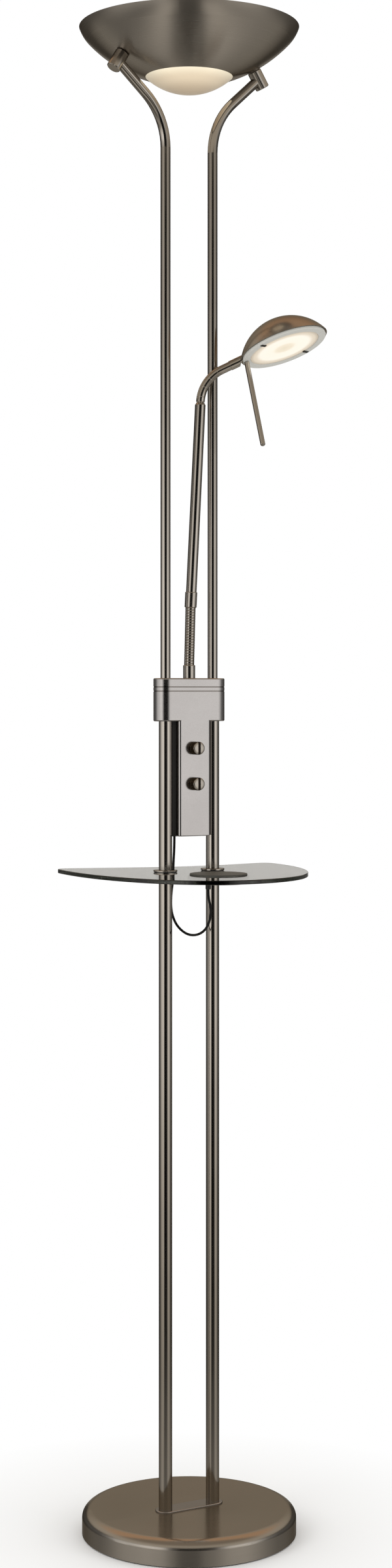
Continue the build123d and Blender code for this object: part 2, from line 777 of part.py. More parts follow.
def make_arm_collar():
    place = neck_plane(arm_pivot, arm_lean).location
    body = disc(arm_collar_radius, neck_half_gap, arm_collar_length)
    body = fillet(body.edges().group_by(Axis.Z)[-1], arm_collar_top_edge)
    body = chamfer(body.edges().group_by(Axis.Z)[0], arm_collar_foot_edge)
    body -= Sphere(lower_ball_radius + ball_fit)
    body -= disc(arm_tube_radius + pole_fit, neck_half_gap + arm_tube_seat, arm_collar_length)
    return place * (body - disc(neck_bore_radius, -1, arm_collar_length))


def make_arm_tube():
    """Rigid tube of the arm with its tapered tip and the ball of the upper neck's first joint."""
    place = neck_plane(arm_tube_start, arm_lean).location
    tip_end = arm_tube_full + arm_tip_length
    body = disc(arm_tube_radius, 0, arm_tube_full)
    tip_root = Pos(0, 0, arm_tube_full) * Circle(arm_tube_radius)
    body += loft([tip_root, Pos(0, 0, tip_end) * Circle(arm_tip_radius)], ruled=True)
    body += Pos(0, 0, tip_end + upper_neck_half_gap) * Sphere(upper_ball_radius)
    body -= disc(arm_tube_radius - arm_tube_wall, -1, arm_tube_full - arm_tip_floor)
    return place * (body - disc(upper_neck_bore_radius, 0, tip_end + 3 * upper_ball_radius))


bend_centre = upper_first_pivot + Vector(arm_along.Z, 0, -arm_along.X) * upper_neck_bend_radius
upper_bend_angle = upper_neck_end_lean - arm_lean
upper_step_angle = upper_bend_angle / upper_neck_curved_segments


def upper_lean(index):
    return arm_lean + upper_step_angle * index


def bend_point(lean):
    """Point of the upper neck's bend where the line leans by the given angle."""
    along = lean_vector(lean)
    return bend_centre - Vector(along.Z, 0, -along.X) * upper_neck_bend_radius


def bent_bar(radius, start_lean, end_lean):
    face = neck_plane(bend_point(start_lean), start_lean).location * Circle(radius)
    return revolve(face, Axis(bend_centre, (0, 1, 0)), end_lean - start_lean)


def make_upper_neck_curved(index):
    start = upper_lean(index)
    end = upper_lean(index + 1)
    gap_angle = math.degrees(upper_neck_half_gap / upper_neck_bend_radius)
    link = bent_bar(upper_neck_radius, start + gap_angle, end - gap_angle)
    link += Pos(*bend_point(end)) * Sphere(upper_ball_radius)
    link -= Pos(*bend_point(start)) * Sphere(upper_ball_radius + ball_fit)
    return link - bent_bar(upper_neck_bore_radius, start - gap_angle, end + 8)


neck_end_along = lean_vector(upper_neck_end_lean)
last_pivot = bend_point(upper_neck_end_lean)
stem_foot = last_pivot + neck_end_along * (upper_neck_end_length + swivel_seam)
stem_end = stem_foot + neck_end_along * head_stem_length


def make_upper_neck_end():
    """Last link of the upper neck, with the pin that the reading head swivels on."""
    body = disc(upper_neck_radius, upper_neck_half_gap, upper_neck_end_length - upper_neck_half_gap)
    body += disc(swivel_pin_radius, upper_neck_end_length - 1, swivel_pin_length + 1)
    body -= Sphere(upper_ball_radius + ball_fit)
    body -= disc(upper_neck_bore_radius, -1, 2 * (upper_neck_end_length + swivel_pin_length))
    return neck_plane(last_pivot, upper_neck_end_lean).location * body


# ---- reading head ----
def head_plane():
    """Plane of the head's rim: X away from the neck, Z towards the crown."""
    pitch = math.radians(head_pitch)
    roll = math.radians(head_roll)
    across = Vector(math.cos(pitch), 0, math.sin(pitch))
    crown = Vector(-math.sin(pitch) * math.cos(roll), math.sin(roll), math.cos(pitch) * math.cos(roll))
    centre = stem_end + across * head_rim_radius - crown * head_stem_lift
    return Plane(origin=centre, x_dir=across, z_dir=crown)


head_frame = head_plane()
head_place = head_frame.location
dome_radius = (head_rim_radius ** 2 + head_dome_height ** 2) / (2 * head_dome_height)
dome_centre_z = head_dome_height - dome_radius
heat_sink_bottom = head_ring_rise


def stem_way(radius, start, length):
    """Round bar on the stem's line, in the arm's plane."""
    return rod(stem_end + neck_end_along * start, neck_end_along, radius, length)


def make_head_shade():
    outer = Pos(0, 0, dome_centre_z) * Sphere(dome_radius)
    inner = Pos(0, 0, dome_centre_z) * Sphere(dome_radius - head_wall)
    shade = (outer - inner) & disc(2 * head_rim_radius, 0, head_dome_height + 5)
    notch = stem_spigot_radius + block_clearance
    reach = head_rim_radius
    shade -= block((-reach - 5, -reach + 8), (-notch, notch), (-1, head_stem_lift + 0.5))
    return head_place * shade - stem_way(notch, -8, 18)


def head_block(margin):
    """The metal block inside the rim that takes the stem and the handle."""
    half = stem_block_width / 2 + margin
    low = -head_ring_drop + head_ring_floor + block_clearance - margin
    return block((-stem_block_outer - margin, -stem_block_inner + margin), (-half, half),
                 (low, head_ring_rise + (0.5 if margin else 0)))


def make_head_stem():
    stem_place = neck_plane(stem_foot, upper_neck_end_lean).location
    body = stem_place * disc(head_stem_radius, 0, head_stem_length + 5)
    body -= head_place * (Pos(0, 0, dome_centre_z) * Sphere(dome_radius + stem_saddle_gap))
    body += stem_way(stem_spigot_radius, -3, 8.1)
    body += head_place * head_block(0)
    pin_bore = disc(swivel_pin_radius + swivel_fit, -1, swivel_pin_length + swivel_end_gap + 1)
    body -= stem_place * pin_bore
    return body - handle_solid(handle_fit)


def handle_solid(margin=0.0):
    """Handle bar below the rim, with its threaded end up in the stem's block."""
    drop = head_frame.z_dir * (head_ring_drop + handle_seat_gap)
    foot = head_frame.origin - head_frame.x_dir * handle_reach - drop
    along = Vector(*handle_direction).normalized()
    thread_start = foot - along * (handle_thread_length + margin)
    bar = rod(foot, along, handle_radius + margin, handle_length)
    if not margin:
        bar = fillet(bar.edges().filter_by(GeomType.CIRCLE).sort_by(Axis.Z)[0], handle_tip_edge)
        bar = chamfer(bar.edges().filter_by(GeomType.CIRCLE).sort_by(Axis.Z)[-1], handle_shoulder_edge)
    return bar + rod(thread_start, along, handle_thread_radius + margin, handle_thread_length + 1)


def make_head_ring():
    body = ring(head_ring_radius, head_ring_bore, -head_ring_drop, head_ring_drop - head_ring_top_gap)
    body += ring(head_ring_radius - head_ring_shoulder, head_ring_bore, -1, head_ring_rise + 1)
    lip_bottom = -head_ring_drop + diffuser_recess + diffuser_thickness
    body += ring(head_ring_bore + 1, head_ring_bore - head_ring_lip_reach, lip_bottom, head_ring_lip_height)
    body = chamfer(body.edges().filter_by(GeomType.CIRCLE).group_by(Axis.Z)[0], head_ring_edge)
    body -= head_block(block_clearance)
    half = stem_spigot_radius + block_clearance
    body -= block((-head_rim_radius, -stem_block_outer + 1), (-half, half), (-half + head_stem_lift, 5))
    placed = head_place * body
    return placed - handle_solid(handle_seat_gap) - stem_way(stem_spigot_radius + block_clearance, -3, 9)


def make_heat_sink():
    plate = disc(heat_sink_radius, heat_sink_bottom, heat_sink_thickness)
    crown = head_dome_height - head_wall - heat_sink_crown_gap
    post_base = heat_sink_bottom + heat_sink_thickness - 0.5
    plate += disc(heat_sink_post_radius, post_base, crown - post_base)
    half = heat_sink_fin_thickness / 2
    fin_top = post_base + heat_sink_fin_height
    for fin in range(heat_sink_fin_count):
        rib = block((heat_sink_post_radius - 1, heat_sink_fin_reach), (-half, half), (post_base, fin_top))
        plate += Rot(0, 0, 360 / heat_sink_fin_count * (fin + 0.5)) * rib
    return head_place * plate


def make_clip(angle):
    """Small bent spring clip that holds the diffuser in the ring."""
    low = -head_ring_drop
    reach = head_ring_bore
    inner = reach - clip_length / 3
    half = clip_width / 2
    foot = block((inner, inner + clip_length), (-half, half), (low - clip_thickness, low))
    lip = block((inner, inner + clip_thickness), (-half, half), (low - 0.5, low + diffuser_recess - 0.1))
    return head_place * (Rot(0, 0, angle) * (foot + lip))


# ---- tray ----
def make_tray():
    back = Spline(tray_back_edge)
    front = Spline(tray_front_edge)
    sheet = extrude(make_face([back, front]), tray_thickness)
    upright = sheet.edges().filter_by(Axis.Z)
    glass = Pos(0, 0, tray_top - tray_thickness) * fillet(upright, tray_corner_radius)
    glass = chamfer(glass.edges().group_by(Axis.Z)[-1] + glass.edges().group_by(Axis.Z)[0], tray_edge_chamfer)
    low = tray_top - tray_thickness - 1
    deep = tray_thickness + 2
    for x in (-pole_x, pole_x):
        glass -= disc(lower_pole_radius + tray_hole_clearance, low, deep, x)
    glass -= disc(charger_hole_radius, low, deep, 0, charger_y)
    return glass - disc(cord_hole_radius, low, deep, *cord_hole)


tray_bottom = tray_top - tray_thickness
sleeve_bore = lower_pole_radius + collar_fit


def make_washer(x, bottom):
    return ring(washer_radius, sleeve_bore, bottom, washer_thickness, x)


def make_flange(x):
    body = disc(flange_radius, tray_top + washer_thickness, flange_thickness, x)
    body = fillet(body.edges().group_by(Axis.Z)[-1], flange_edge)
    return body - disc(sleeve_bore, tray_top, 10, x)


def collar_solid(x):
    top = tray_bottom - washer_thickness
    body = disc(collar_radius, top - collar_height, collar_height, x)
    body = chamfer(body.edges().group_by(Axis.Z)[0], collar_edge)
    body -= disc(sleeve_bore, top - collar_height - 1, collar_height + 2, x)
    return body - grub_way(x, grub_radius + grub_fit, 0.0, collar_radius)


def grub_way(x, radius, start, length):
    """Round bar across the collar's wall on its rear side."""
    height = tray_bottom - washer_thickness - collar_height / 2
    return rod((x, lower_pole_radius + start, height), (0, 1, 0), radius, length)


def make_grub_screw(x):
    screw = grub_way(x, grub_radius, grub_tip_gap, grub_length)
    return screw - grub_way(x, grub_radius / 2, grub_length - screw_socket_depth, grub_length)


# ---- charging pad ----
def make_charger_body():
    flange_top = tray_bottom - charger_seat_gap
    can_radius = charger_hole_radius - charger_barrel_clearance
    body = disc(charger_flange_radius, charger_bottom, flange_top - charger_bottom, 0, charger_y)
    body = fillet(body.edges().group_by(Axis.Z)[0], charger_edge)
    body += disc(can_radius, flange_top - 0.5, tray_top - flange_top + 0.5, 0, charger_y)
    cavity = charger_bottom + charger_wall
    body -= disc(can_radius - charger_wall, cavity, tray_top - cavity + 1, 0, charger_y)
    half = coil_post_half_width
    y_span = (charger_y - coil_post_half_length, charger_y + coil_post_half_length)
    for x in (-coil_post_reach, coil_post_reach):
        body += block((x - half, x + half), y_span, (cavity - 0.5, coil_bottom))
    return body - disc(plug_tip_radius, charger_bottom - 1, charger_wall + 2, 0, plug_y)


coil_bottom = tray_top - coil_drop


def make_charger_coil():
    return ring(coil_outer_radius, coil_inner_radius, coil_bottom, coil_thickness, 0, charger_y)


def make_charger_top():
    body = disc(charger_top_radius, tray_top, charger_top_thickness, 0, charger_y)
    body = fillet(body.edges().group_by(Axis.Z)[-1], charger_top_edge)
    hub_radius = coil_inner_radius - hub_gap
    hub_height = coil_drop - hub_rise
    return body + ring(hub_radius, hub_bore, tray_top - hub_height, hub_height + 0.4, 0, charger_y)


def make_plug():
    bottom = charger_bottom - plug_length
    body = disc(plug_radius, bottom, plug_length, 0, plug_y)
    body = fillet(body.edges().group_by(Axis.Z)[0], plug_edge)
    return body + disc(plug_tip_radius - plug_fit, charger_bottom - 0.5, charger_wall + 0.5, 0, plug_y)


def make_cord_bush():
    flange_bottom = bracket_bottom - cord_bush_flange_thickness
    body = disc(cord_bush_flange_radius, flange_bottom, cord_bush_flange_thickness, *cord_exit)
    roof = cord_drop[0][2]
    body += disc(cord_bush_radius, flange_bottom, roof + cord_bush_roof - flange_bottom, *cord_exit)
    return body - disc(cord_radius + cord_fit, flange_bottom - 1, roof - flange_bottom + 1, *cord_exit)


def make_grommet():
    height = tray_thickness + 2 * grommet_flange_thickness
    body = disc(cord_hole_radius - grommet_fit, tray_bottom - 0.5, tray_thickness + 1, *cord_hole)
    for bottom in (tray_bottom - grommet_flange_thickness, tray_top):
        body += disc(grommet_flange_radius, bottom, grommet_flange_thickness, *cord_hole)
    return body - disc(grommet_bore_radius, tray_bottom - height, 3 * height, *cord_hole)


def cord_route():
    """Corner points of the cord: down through the tray, round the loop and up into the plug."""
    hole = Vector(cord_hole[0], cord_hole[1], 0)
    way = (Vector(0, plug_y, 0) - hole).normalized()
    loop = [hole + way * along + Vector(0, 0, height) for along, height in cord_loop]
    end = Vector(0, plug_y, charger_bottom - plug_length)
    above = Vector(0, plug_y, cord_loop[-2][1])
    return [Vector(*point) for point in cord_drop] + loop[:-2] + [above, end]


def cord_radii(points):
    radii = []
    for before, here, after in zip(points, points[1:], points[2:]):
        turn = math.radians((here - before).get_angle(after - here))
        shorter = min((here - before).length, (after - here).length)
        radii.append(0.45 * shorter / math.tan(turn / 2))
    return radii


def make_cord():
    points = cord_route()
    radii = cord_radii(points)
    path = FilletPolyline(*points, radius=radii)
    face = Plane(origin=points[0], z_dir=points[1] - points[0]).location * Circle(cord_radius)
    cord = sweep(face, path=path)
    expected = math.pi * cord_radius ** 2 * path.length
    print("cord bend radii", [round(radius, 1) for radius in radii])
    print("cord runs", [round((b - a).length, 1) for a, b in zip(points, points[1:])])
    print("cord length", round(path.length, 1), "volume / section x length", round(cord.volume / expected, 4))
    return cord


# ---- all pieces ----
def build_parts():
    upper_right = make_upper_pole_right()
    barrel_right = make_barrel_right()
    screw_right = make_barrel_screw_right()
    plate_z = dish_top_z + plate_seat_gap
    board_z = plate_z + uplight_plate_thickness
    diffuser_z = board_z + uplight_board_thickness
    heat_bottom = heat_sink_bottom
    glass_low = -head_ring_drop + diffuser_recess
    washer_floors = (tray_bottom - washer_thickness, tray_top)
    washers = [make_washer(x, bottom) for x in (-pole_x, pole_x) for bottom in washer_floors]
    parts = {
        "base_cover": make_base_cover(),
        "base_weight": make_base_weight(),
        "base_pad": disc(base_radius - pad_inset, 0, pad_thickness),
        "foot_plate": make_foot_plate(),
        "pole_plugs": on_poles(make_pole_plug),
        "pole_bolts": on_poles(make_pole_bolt),
        "cord_inlet_bush": make_inlet_bush(),
        "lower_pole_left": make_lower_pole(-pole_x),
        "lower_pole_right": make_lower_pole(pole_x),
        "upper_pole_left": mirror(upper_right, about=Plane.YZ),
        "upper_pole_right": upper_right,
        "bowl_shade": make_bowl(),
        "bowl_barrel_left": mirror(barrel_right, about=Plane.YZ),
        "bowl_barrel_right": barrel_right,
        "barrel_screws": group([mirror(screw_right, about=Plane.YZ), screw_right]),
        "frosted_dish": make_frosted_dish(),
        "uplight_plate": ring(uplight_plate_radius, uplight_plate_bore, plate_z, uplight_plate_thickness),
        "uplight_board": ring(uplight_board_radius, uplight_board_bore, board_z, uplight_board_thickness),
        "uplight_diffuser": make_uplight_diffuser(diffuser_z),
        "bracket_cover": make_bracket_cover(),
        "rear_housing": make_rear_housing(),
        "housing_screws": group([make_housing_screw(z) for z in screw_boss_heights]),
        "dimmer_units": group([make_dimmer_unit(z) for z in knob_heights]),
        "control_board": make_control_board(),
        "dimmer_knob_upper": make_knob(knob_heights[0]),
        "dimmer_knob_lower": make_knob(knob_heights[1]),
        "neck_ferrule": turn_to_lamp(make_ferrule()),
        "arm_collar": turn_to_lamp(make_arm_collar()),
        "arm_tube": turn_to_lamp(make_arm_tube()),
        "head_stem": turn_to_lamp(make_head_stem()),
        "head_shade": turn_to_lamp(make_head_shade()),
        "head_heat_sink": turn_to_lamp(make_heat_sink()),
        "head_board": turn_to_lamp(
            head_place * disc(head_board_radius, heat_bottom - head_board_thickness, head_board_thickness)
        ),
        "head_diffuser": turn_to_lamp(head_place * disc(diffuser_radius, glass_low, diffuser_thickness)),
        "head_ring": turn_to_lamp(make_head_ring()),
        "head_clips": turn_to_lamp(group([make_clip(angle) for angle in clip_angles])),
        "handle_rod": turn_to_lamp(handle_solid()),
        "glass_tray": make_tray(),
        "tray_flanges": on_poles(make_flange),
        "tray_collars": on_poles(collar_solid),
        "tray_washers": group(washers),
        "grub_screws": on_poles(make_grub_screw),
        "cable_grommet": make_grommet(),
        "charger_body": make_charger_body(),
        "charger_top": make_charger_top(),
        "charger_coil": make_charger_coil(),
        "charger_plug": make_plug(),
        "column_cord_bush": make_cord_bush(),
        "charger_cord": make_cord(),
    }
    for index in range(lower_neck_segments):
        parts[f"lower_neck_{index + 1}"] = turn_to_lamp(make_lower_neck(index))
    for index in range(upper_neck_curved_segments):
        parts[f"upper_neck_{index + 1}"] = turn_to_lamp(make_upper_neck_curved(index))
    parts[f"upper_neck_{upper_neck_curved_segments + 1}"] = turn_to_lamp(make_upper_neck_end())
    return parts


def print_joint_places():
    """Joint centres and leans, in the lamp's axes."""
    turn = math.radians(arm_plane_turn)
    places = []
    for index in range(lower_neck_segments):
        places.append((f"lower_{index + 1}", lower_pivot(index), lower_neck_lean))
    places.append(("arm", arm_pivot, arm_lean))
    for index in range(upper_neck_curved_segments + 1):
        places.append((f"upper_{index + 1}", bend_point(upper_lean(index)), upper_lean(index)))
    places.append(("swivel", stem_foot, upper_neck_end_lean))
    for name, point, lean in places:
        x = point.X * math.cos(turn)
        y = point.X * math.sin(turn)
        print("joint", name, round(x, 4), round(y, 4), round(point.Z, 4), round(lean, 4))


os.makedirs("parts", exist_ok=True)
for node, shape in build_parts().items():
    export_step(shape, f"parts/{node}.step")
print_joint_places()
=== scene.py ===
# %% [markdown]
# # A torchiere floor lamp with a reading light
# The lamp stands 1.8 m tall: a round foot, two slim poles, an uplight bowl with a frosted dish, a
# bracket with two dimmer knobs, a reading head on a bending arm, and a smoked glass tray with a
# charging pad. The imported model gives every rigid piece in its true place. This lesson gives those
# pieces their finishes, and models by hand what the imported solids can't show: the wound hose, the
# sleeve of the upper neck, the fluted knobs and the cord. All lengths are metres, and MM is a
# millimetre.

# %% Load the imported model
import json
import math
import bpy
from mathutils import Matrix, Vector


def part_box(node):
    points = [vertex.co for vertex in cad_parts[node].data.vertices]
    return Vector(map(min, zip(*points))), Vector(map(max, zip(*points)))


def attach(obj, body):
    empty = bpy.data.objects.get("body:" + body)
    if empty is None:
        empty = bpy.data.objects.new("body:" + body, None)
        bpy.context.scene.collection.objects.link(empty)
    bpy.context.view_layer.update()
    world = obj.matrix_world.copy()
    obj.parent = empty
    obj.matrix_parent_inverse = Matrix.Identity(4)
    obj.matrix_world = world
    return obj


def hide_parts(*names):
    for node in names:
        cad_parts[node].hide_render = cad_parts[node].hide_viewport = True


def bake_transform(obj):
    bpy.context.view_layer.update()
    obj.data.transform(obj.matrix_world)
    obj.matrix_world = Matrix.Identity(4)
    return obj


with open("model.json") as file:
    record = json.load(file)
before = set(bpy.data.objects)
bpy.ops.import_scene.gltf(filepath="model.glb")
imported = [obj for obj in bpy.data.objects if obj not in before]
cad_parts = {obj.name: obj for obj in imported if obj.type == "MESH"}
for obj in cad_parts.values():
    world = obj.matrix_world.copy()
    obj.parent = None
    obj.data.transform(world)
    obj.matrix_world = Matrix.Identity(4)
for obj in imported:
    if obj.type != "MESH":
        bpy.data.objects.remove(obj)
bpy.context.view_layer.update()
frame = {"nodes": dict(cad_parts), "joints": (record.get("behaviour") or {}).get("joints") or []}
nodes = frame["nodes"]
joint_places = {joint["name"]: Vector(joint["pos_m"]) for joint in frame["joints"]}
MM = 0.001

# %% [markdown]
# ## The camera
# The photograph was taken from in front and a little to the left, with the camera level at about
# chest height. Its focal length is given in pixels of the photograph, so it is turned into
# millimetres on a 36 mm sensor. The optical axis isn't in the middle of the picture, and the
# shift moves it there.

# %% Camera
PHOTO_WIDTH, PHOTO_HEIGHT = 600, 2400
FOCAL_PIXELS = 3947.6
AXIS_PIXEL_X, AXIS_PIXEL_Y = 289.5, 1057.5
CAMERA_HEIGHT = 1.0066
CAMERA_DISTANCE = 3.0858
CAMERA_TURN = math.radians(30)
SENSOR = 36.0

towards_lamp = Vector((math.sin(CAMERA_TURN), math.cos(CAMERA_TURN), 0))
camera_place = Vector((0, 0, CAMERA_HEIGHT)) - towards_lamp * CAMERA_DISTANCE
bpy.ops.object.camera_add(location=camera_place, rotation=(math.radians(90), 0, -CAMERA_TURN))
camera = bpy.context.object
camera.name = "camera"
camera.data.sensor_width = SENSOR
camera.data.lens = FOCAL_PIXELS / PHOTO_HEIGHT * SENSOR
camera.data.shift_x = (PHOTO_WIDTH / 2 - AXIS_PIXEL_X) / PHOTO_HEIGHT
camera.data.shift_y = (AXIS_PIXEL_Y - PHOTO_HEIGHT / 2) / PHOTO_HEIGHT
bpy.context.scene.camera = camera
print("lens", round(camera.data.lens, 2), "mm")

# %% [markdown]
# ## Tools for modelling
# Blender's operators act on whatever is selected, so each step first deselects everything. Then a
# piece is picked, and where only a part of it is meant, its vertices are picked by their place.

# %% Selecting
def deselect_all():
    if bpy.context.object and bpy.context.object.mode != "OBJECT":
        bpy.ops.object.mode_set(mode="OBJECT")
    bpy.ops.object.select_all(action="DESELECT")


def pick(piece):
    """Makes one piece the selected and active object."""
    deselect_all()
    piece.select_set(True)
    bpy.context.view_layer.objects.active = piece
    return piece


def pick_vertices(piece, wanted):
    """Goes into edit mode with the vertices selected for which wanted(place) is true."""
    pick(piece)
    bpy.ops.object.mode_set(mode="EDIT")
    bpy.ops.mesh.select_mode(type="VERT")
    bpy.ops.mesh.select_all(action="DESELECT")
    bpy.ops.object.mode_set(mode="OBJECT")
    for vertex in piece.data.vertices:
        vertex.select = wanted(vertex.co)
    bpy.ops.object.mode_set(mode="EDIT")


# %% [markdown]
# A finished piece keeps its object at the origin, with its place in its mesh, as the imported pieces
# do. Its doubled vertices are merged and its faces turned outwards, so that it is one closed
# surface. A frame matrix puts something modelled round Z where it belongs on the lamp.

# %% Settling and tidying
def settle(piece, place=None):
    """Puts the piece at its place and writes that place into its mesh."""
    pick(piece)
    if place is not None:
        piece.matrix_world = place @ piece.matrix_world
        bpy.context.view_layer.update()
    bpy.ops.object.transform_apply(location=True, rotation=True, scale=True)
    return piece


def tidy_mesh(piece, smooth_angle=40):
    """Merges doubles, turns the faces outwards and shades them smoothly up to an angle."""
    pick(piece)
    bpy.ops.object.mode_set(mode="EDIT")
    bpy.ops.mesh.select_all(action="SELECT")
    bpy.ops.mesh.remove_doubles(threshold=1e-6)
    bpy.ops.mesh.normals_make_consistent(inside=False)
    bpy.ops.object.mode_set(mode="OBJECT")
    bpy.ops.object.shade_smooth_by_angle(angle=math.radians(smooth_angle))
    return piece


def apply_modifiers(piece):
    pick(piece)
    for modifier in list(piece.modifiers):
        bpy.ops.object.modifier_apply(modifier=modifier.name)


def frame_at(point, along, across):
    """Matrix whose Z runs along, with its X as near to across as it can be."""
    z = Vector(along).normalized()
    x = (Vector(across) - z * z.dot(Vector(across))).normalized()
    y = z.cross(x)
    return Matrix.Translation(Vector(point)) @ Matrix((x, y, z)).transposed().to_4x4()


# %% [markdown]
# ## Tools for finishes
# A finish is a small network of shader nodes. These helpers make the node, set its values and
# link it, so that each material below reads as a recipe. What several finishes share, such as
# brushed lines or moulded grain, is a node group with named inputs, built once.

# %% Node helpers
def add_node(tree, kind, **settings):
    made = tree.nodes.new(kind)
    for key, value in settings.items():
        setattr(made, key, value)
    return made


def compute(tree, operation, first, second=None, third=None):
    """A Math node; each term is a number or a socket."""
    made = add_node(tree, "ShaderNodeMath", operation=operation)
    for slot_index, term in enumerate((first, second, third)):
        if term is None:
            continue
        if isinstance(term, (int, float)):
            made.inputs[slot_index].default_value = term
        else:
            tree.links.new(term, made.inputs[slot_index])
    return made.outputs[0]


def stretch(tree, value, from_low, from_high, to_low, to_high):
    """A Map Range node: value from one range to another, held at both ends."""
    made = add_node(tree, "ShaderNodeMapRange")
    tree.links.new(value, made.inputs["Value"])
    made.inputs["From Min"].default_value = from_low
    made.inputs["From Max"].default_value = from_high
    made.inputs["To Min"].default_value = to_low
    made.inputs["To Max"].default_value = to_high
    return made.outputs["Result"]


def colour_ramp(tree, value, stops, ease="LINEAR"):
    """A Color Ramp node with (place, (red, green, blue)) stops."""
    ramp = add_node(tree, "ShaderNodeValToRGB")
    ramp.color_ramp.interpolation = ease
    elements = ramp.color_ramp.elements
    while len(elements) < len(stops):
        elements.new(0.5)
    for element, (place, colour) in zip(elements, stops):
        element.position = place
        element.color = (*colour, 1)
    tree.links.new(value, ramp.inputs["Fac"])
    return ramp.outputs["Color"]


def mix_colours(tree, share, first, second, blend="MIX"):
    """A Mix Color node; the share and the two colours are values or sockets."""
    mixer = add_node(tree, "ShaderNodeMix", data_type="RGBA", blend_type=blend)
    for socket_index, value in ((0, share), (6, first), (7, second)):
        if hasattr(value, "is_output"):
            tree.links.new(value, mixer.inputs[socket_index])
        elif isinstance(value, tuple):
            mixer.inputs[socket_index].default_value = (*value, 1)
        else:
            mixer.inputs[socket_index].default_value = value
    return mixer.outputs[2]


# %% [markdown]
# A node group is a recipe inside the recipe. The first helper makes an empty one with named
# sockets, and the second places it in a material with its own values.

# %% Node groups
def new_group(name, inputs, outputs):
    """An empty node group with its sockets; returns the tree and its two ends."""
    tree = bpy.data.node_groups.new(name, "ShaderNodeTree")
    for label, kind, value in inputs:
        socket = tree.interface.new_socket(label, in_out="INPUT", socket_type=kind)
        if value is not None:
            socket.default_value = value
    for label, kind in outputs:
        tree.interface.new_socket(label, in_out="OUTPUT", socket_type=kind)
    return tree, add_node(tree, "NodeGroupInput"), add_node(tree, "NodeGroupOutput")


def use_group(tree, group, **values):
    made = add_node(tree, "ShaderNodeGroup", node_tree=group)
    for label, value in values.items():
        socket = made.inputs[label.replace("_", " ")]
        if hasattr(value, "is_output"):
            tree.links.new(value, socket)
        else:
            socket.default_value = value
    return made


# %% [markdown]
# ### Shared effects
# Satin nickel is brushed, so its reflection is broken up by fine lines. On a pole they run its
# length, and on a spun bowl or foot they run in rings, so one group turns a place into ring
# coordinates and another makes the lines. Moulded black plastic and rubber have an even fine
# grain.

# %% Ring coordinates
FLOAT, VECTOR = "NodeSocketFloat", "NodeSocketVector"
ring_group, ring_in, ring_out = new_group(
    "ring_coordinates", [("Place", VECTOR, None)], [("Rings", VECTOR)]
)
split = add_node(ring_group, "ShaderNodeSeparateXYZ")
join = add_node(ring_group, "ShaderNodeCombineXYZ")
ring_group.links.new(ring_in.outputs["Place"], split.inputs[0])
split_x, split_y = split.outputs["X"], split.outputs["Y"]
across_squared = compute(ring_group, "MULTIPLY", split_x, split_x)
reach_squared = compute(ring_group, "MULTIPLY_ADD", split_y, split_y, across_squared)
ring_group.links.new(compute(ring_group, "SQRT", reach_squared), join.inputs["X"])
ring_group.links.new(split.outputs["Z"], join.inputs["Y"])
METRES_PER_RADIAN = 0.02
turn_about = compute(ring_group, "ARCTAN2", split_y, split_x)
ring_group.links.new(
    compute(ring_group, "MULTIPLY", turn_about, METRES_PER_RADIAN), join.inputs["Z"]
)
ring_group.links.new(join.outputs[0], ring_out.inputs["Rings"])
print("group", ring_group.name)

# %% [markdown]
# Brushed lines are noise that is squeezed across the lines and stretched along them. A second,
# slow noise clouds the surface a little, as handling does.

# %% Brushed lines
brush_group, brush_in, brush_out = new_group(
    "brushed_lines",
    [("Place", VECTOR, None), ("Fineness", FLOAT, 1500.0), ("Length", FLOAT, 25.0)],
    [("Lines", FLOAT), ("Cloud", FLOAT)],
)
scale_vector = add_node(brush_group, "ShaderNodeCombineXYZ")
for axis_name, source in (("X", "Fineness"), ("Y", "Fineness"), ("Z", "Length")):
    brush_group.links.new(brush_in.outputs[source], scale_vector.inputs[axis_name])
stretched = add_node(brush_group, "ShaderNodeVectorMath", operation="MULTIPLY")
brush_group.links.new(brush_in.outputs["Place"], stretched.inputs[0])
brush_group.links.new(scale_vector.outputs[0], stretched.inputs[1])
line_noise = add_node(brush_group, "ShaderNodeTexNoise")
line_noise.inputs["Scale"].default_value = 1.0
line_noise.inputs["Detail"].default_value = 3.0
brush_group.links.new(stretched.outputs[0], line_noise.inputs["Vector"])
cloud_noise = add_node(brush_group, "ShaderNodeTexNoise")
cloud_noise.inputs["Scale"].default_value = 14.0
cloud_noise.inputs["Detail"].default_value = 2.0
brush_group.links.new(brush_in.outputs["Place"], cloud_noise.inputs["Vector"])
brush_group.links.new(line_noise.outputs["Fac"], brush_out.inputs["Lines"])
brush_group.links.new(cloud_noise.outputs["Fac"], brush_out.inputs["Cloud"])
print("group", brush_group.name)

# %% [markdown]
# Grain is the same noise in every direction. It stands for the texture of a mould, and for metal
# that was blasted with beads instead of brushed.

# %% Moulded grain
grain_group, grain_in, grain_out = new_group(
    "moulded_grain",
    [("Place", VECTOR, None), ("Fineness", FLOAT, 900.0)],
    [("Grain", FLOAT), ("Cloud", FLOAT)],
)
grain_noise = add_node(grain_group, "ShaderNodeTexNoise")
grain_noise.inputs["Detail"].default_value = 2.0
grain_group.links.new(grain_in.outputs["Place"], grain_noise.inputs["Vector"])
grain_group.links.new(grain_in.outputs["Fineness"], grain_noise.inputs["Scale"])
grain_cloud = add_node(grain_group, "ShaderNodeTexNoise")
grain_cloud.inputs["Scale"].default_value = 20.0
grain_group.links.new(grain_in.outputs["Place"], grain_cloud.inputs["Vector"])
grain_group.links.new(grain_noise.outputs["Fac"], grain_out.inputs["Grain"])
grain_group.links.new(grain_cloud.outputs["Fac"], grain_out.inputs["Cloud"])
print("group", grain_group.name)


# %% [markdown]
# ## The finishes
# Each recipe starts from a Principled shader. Constant values go on its own sockets, and the
# shared groups vary its colour, roughness and height a little over the surface.

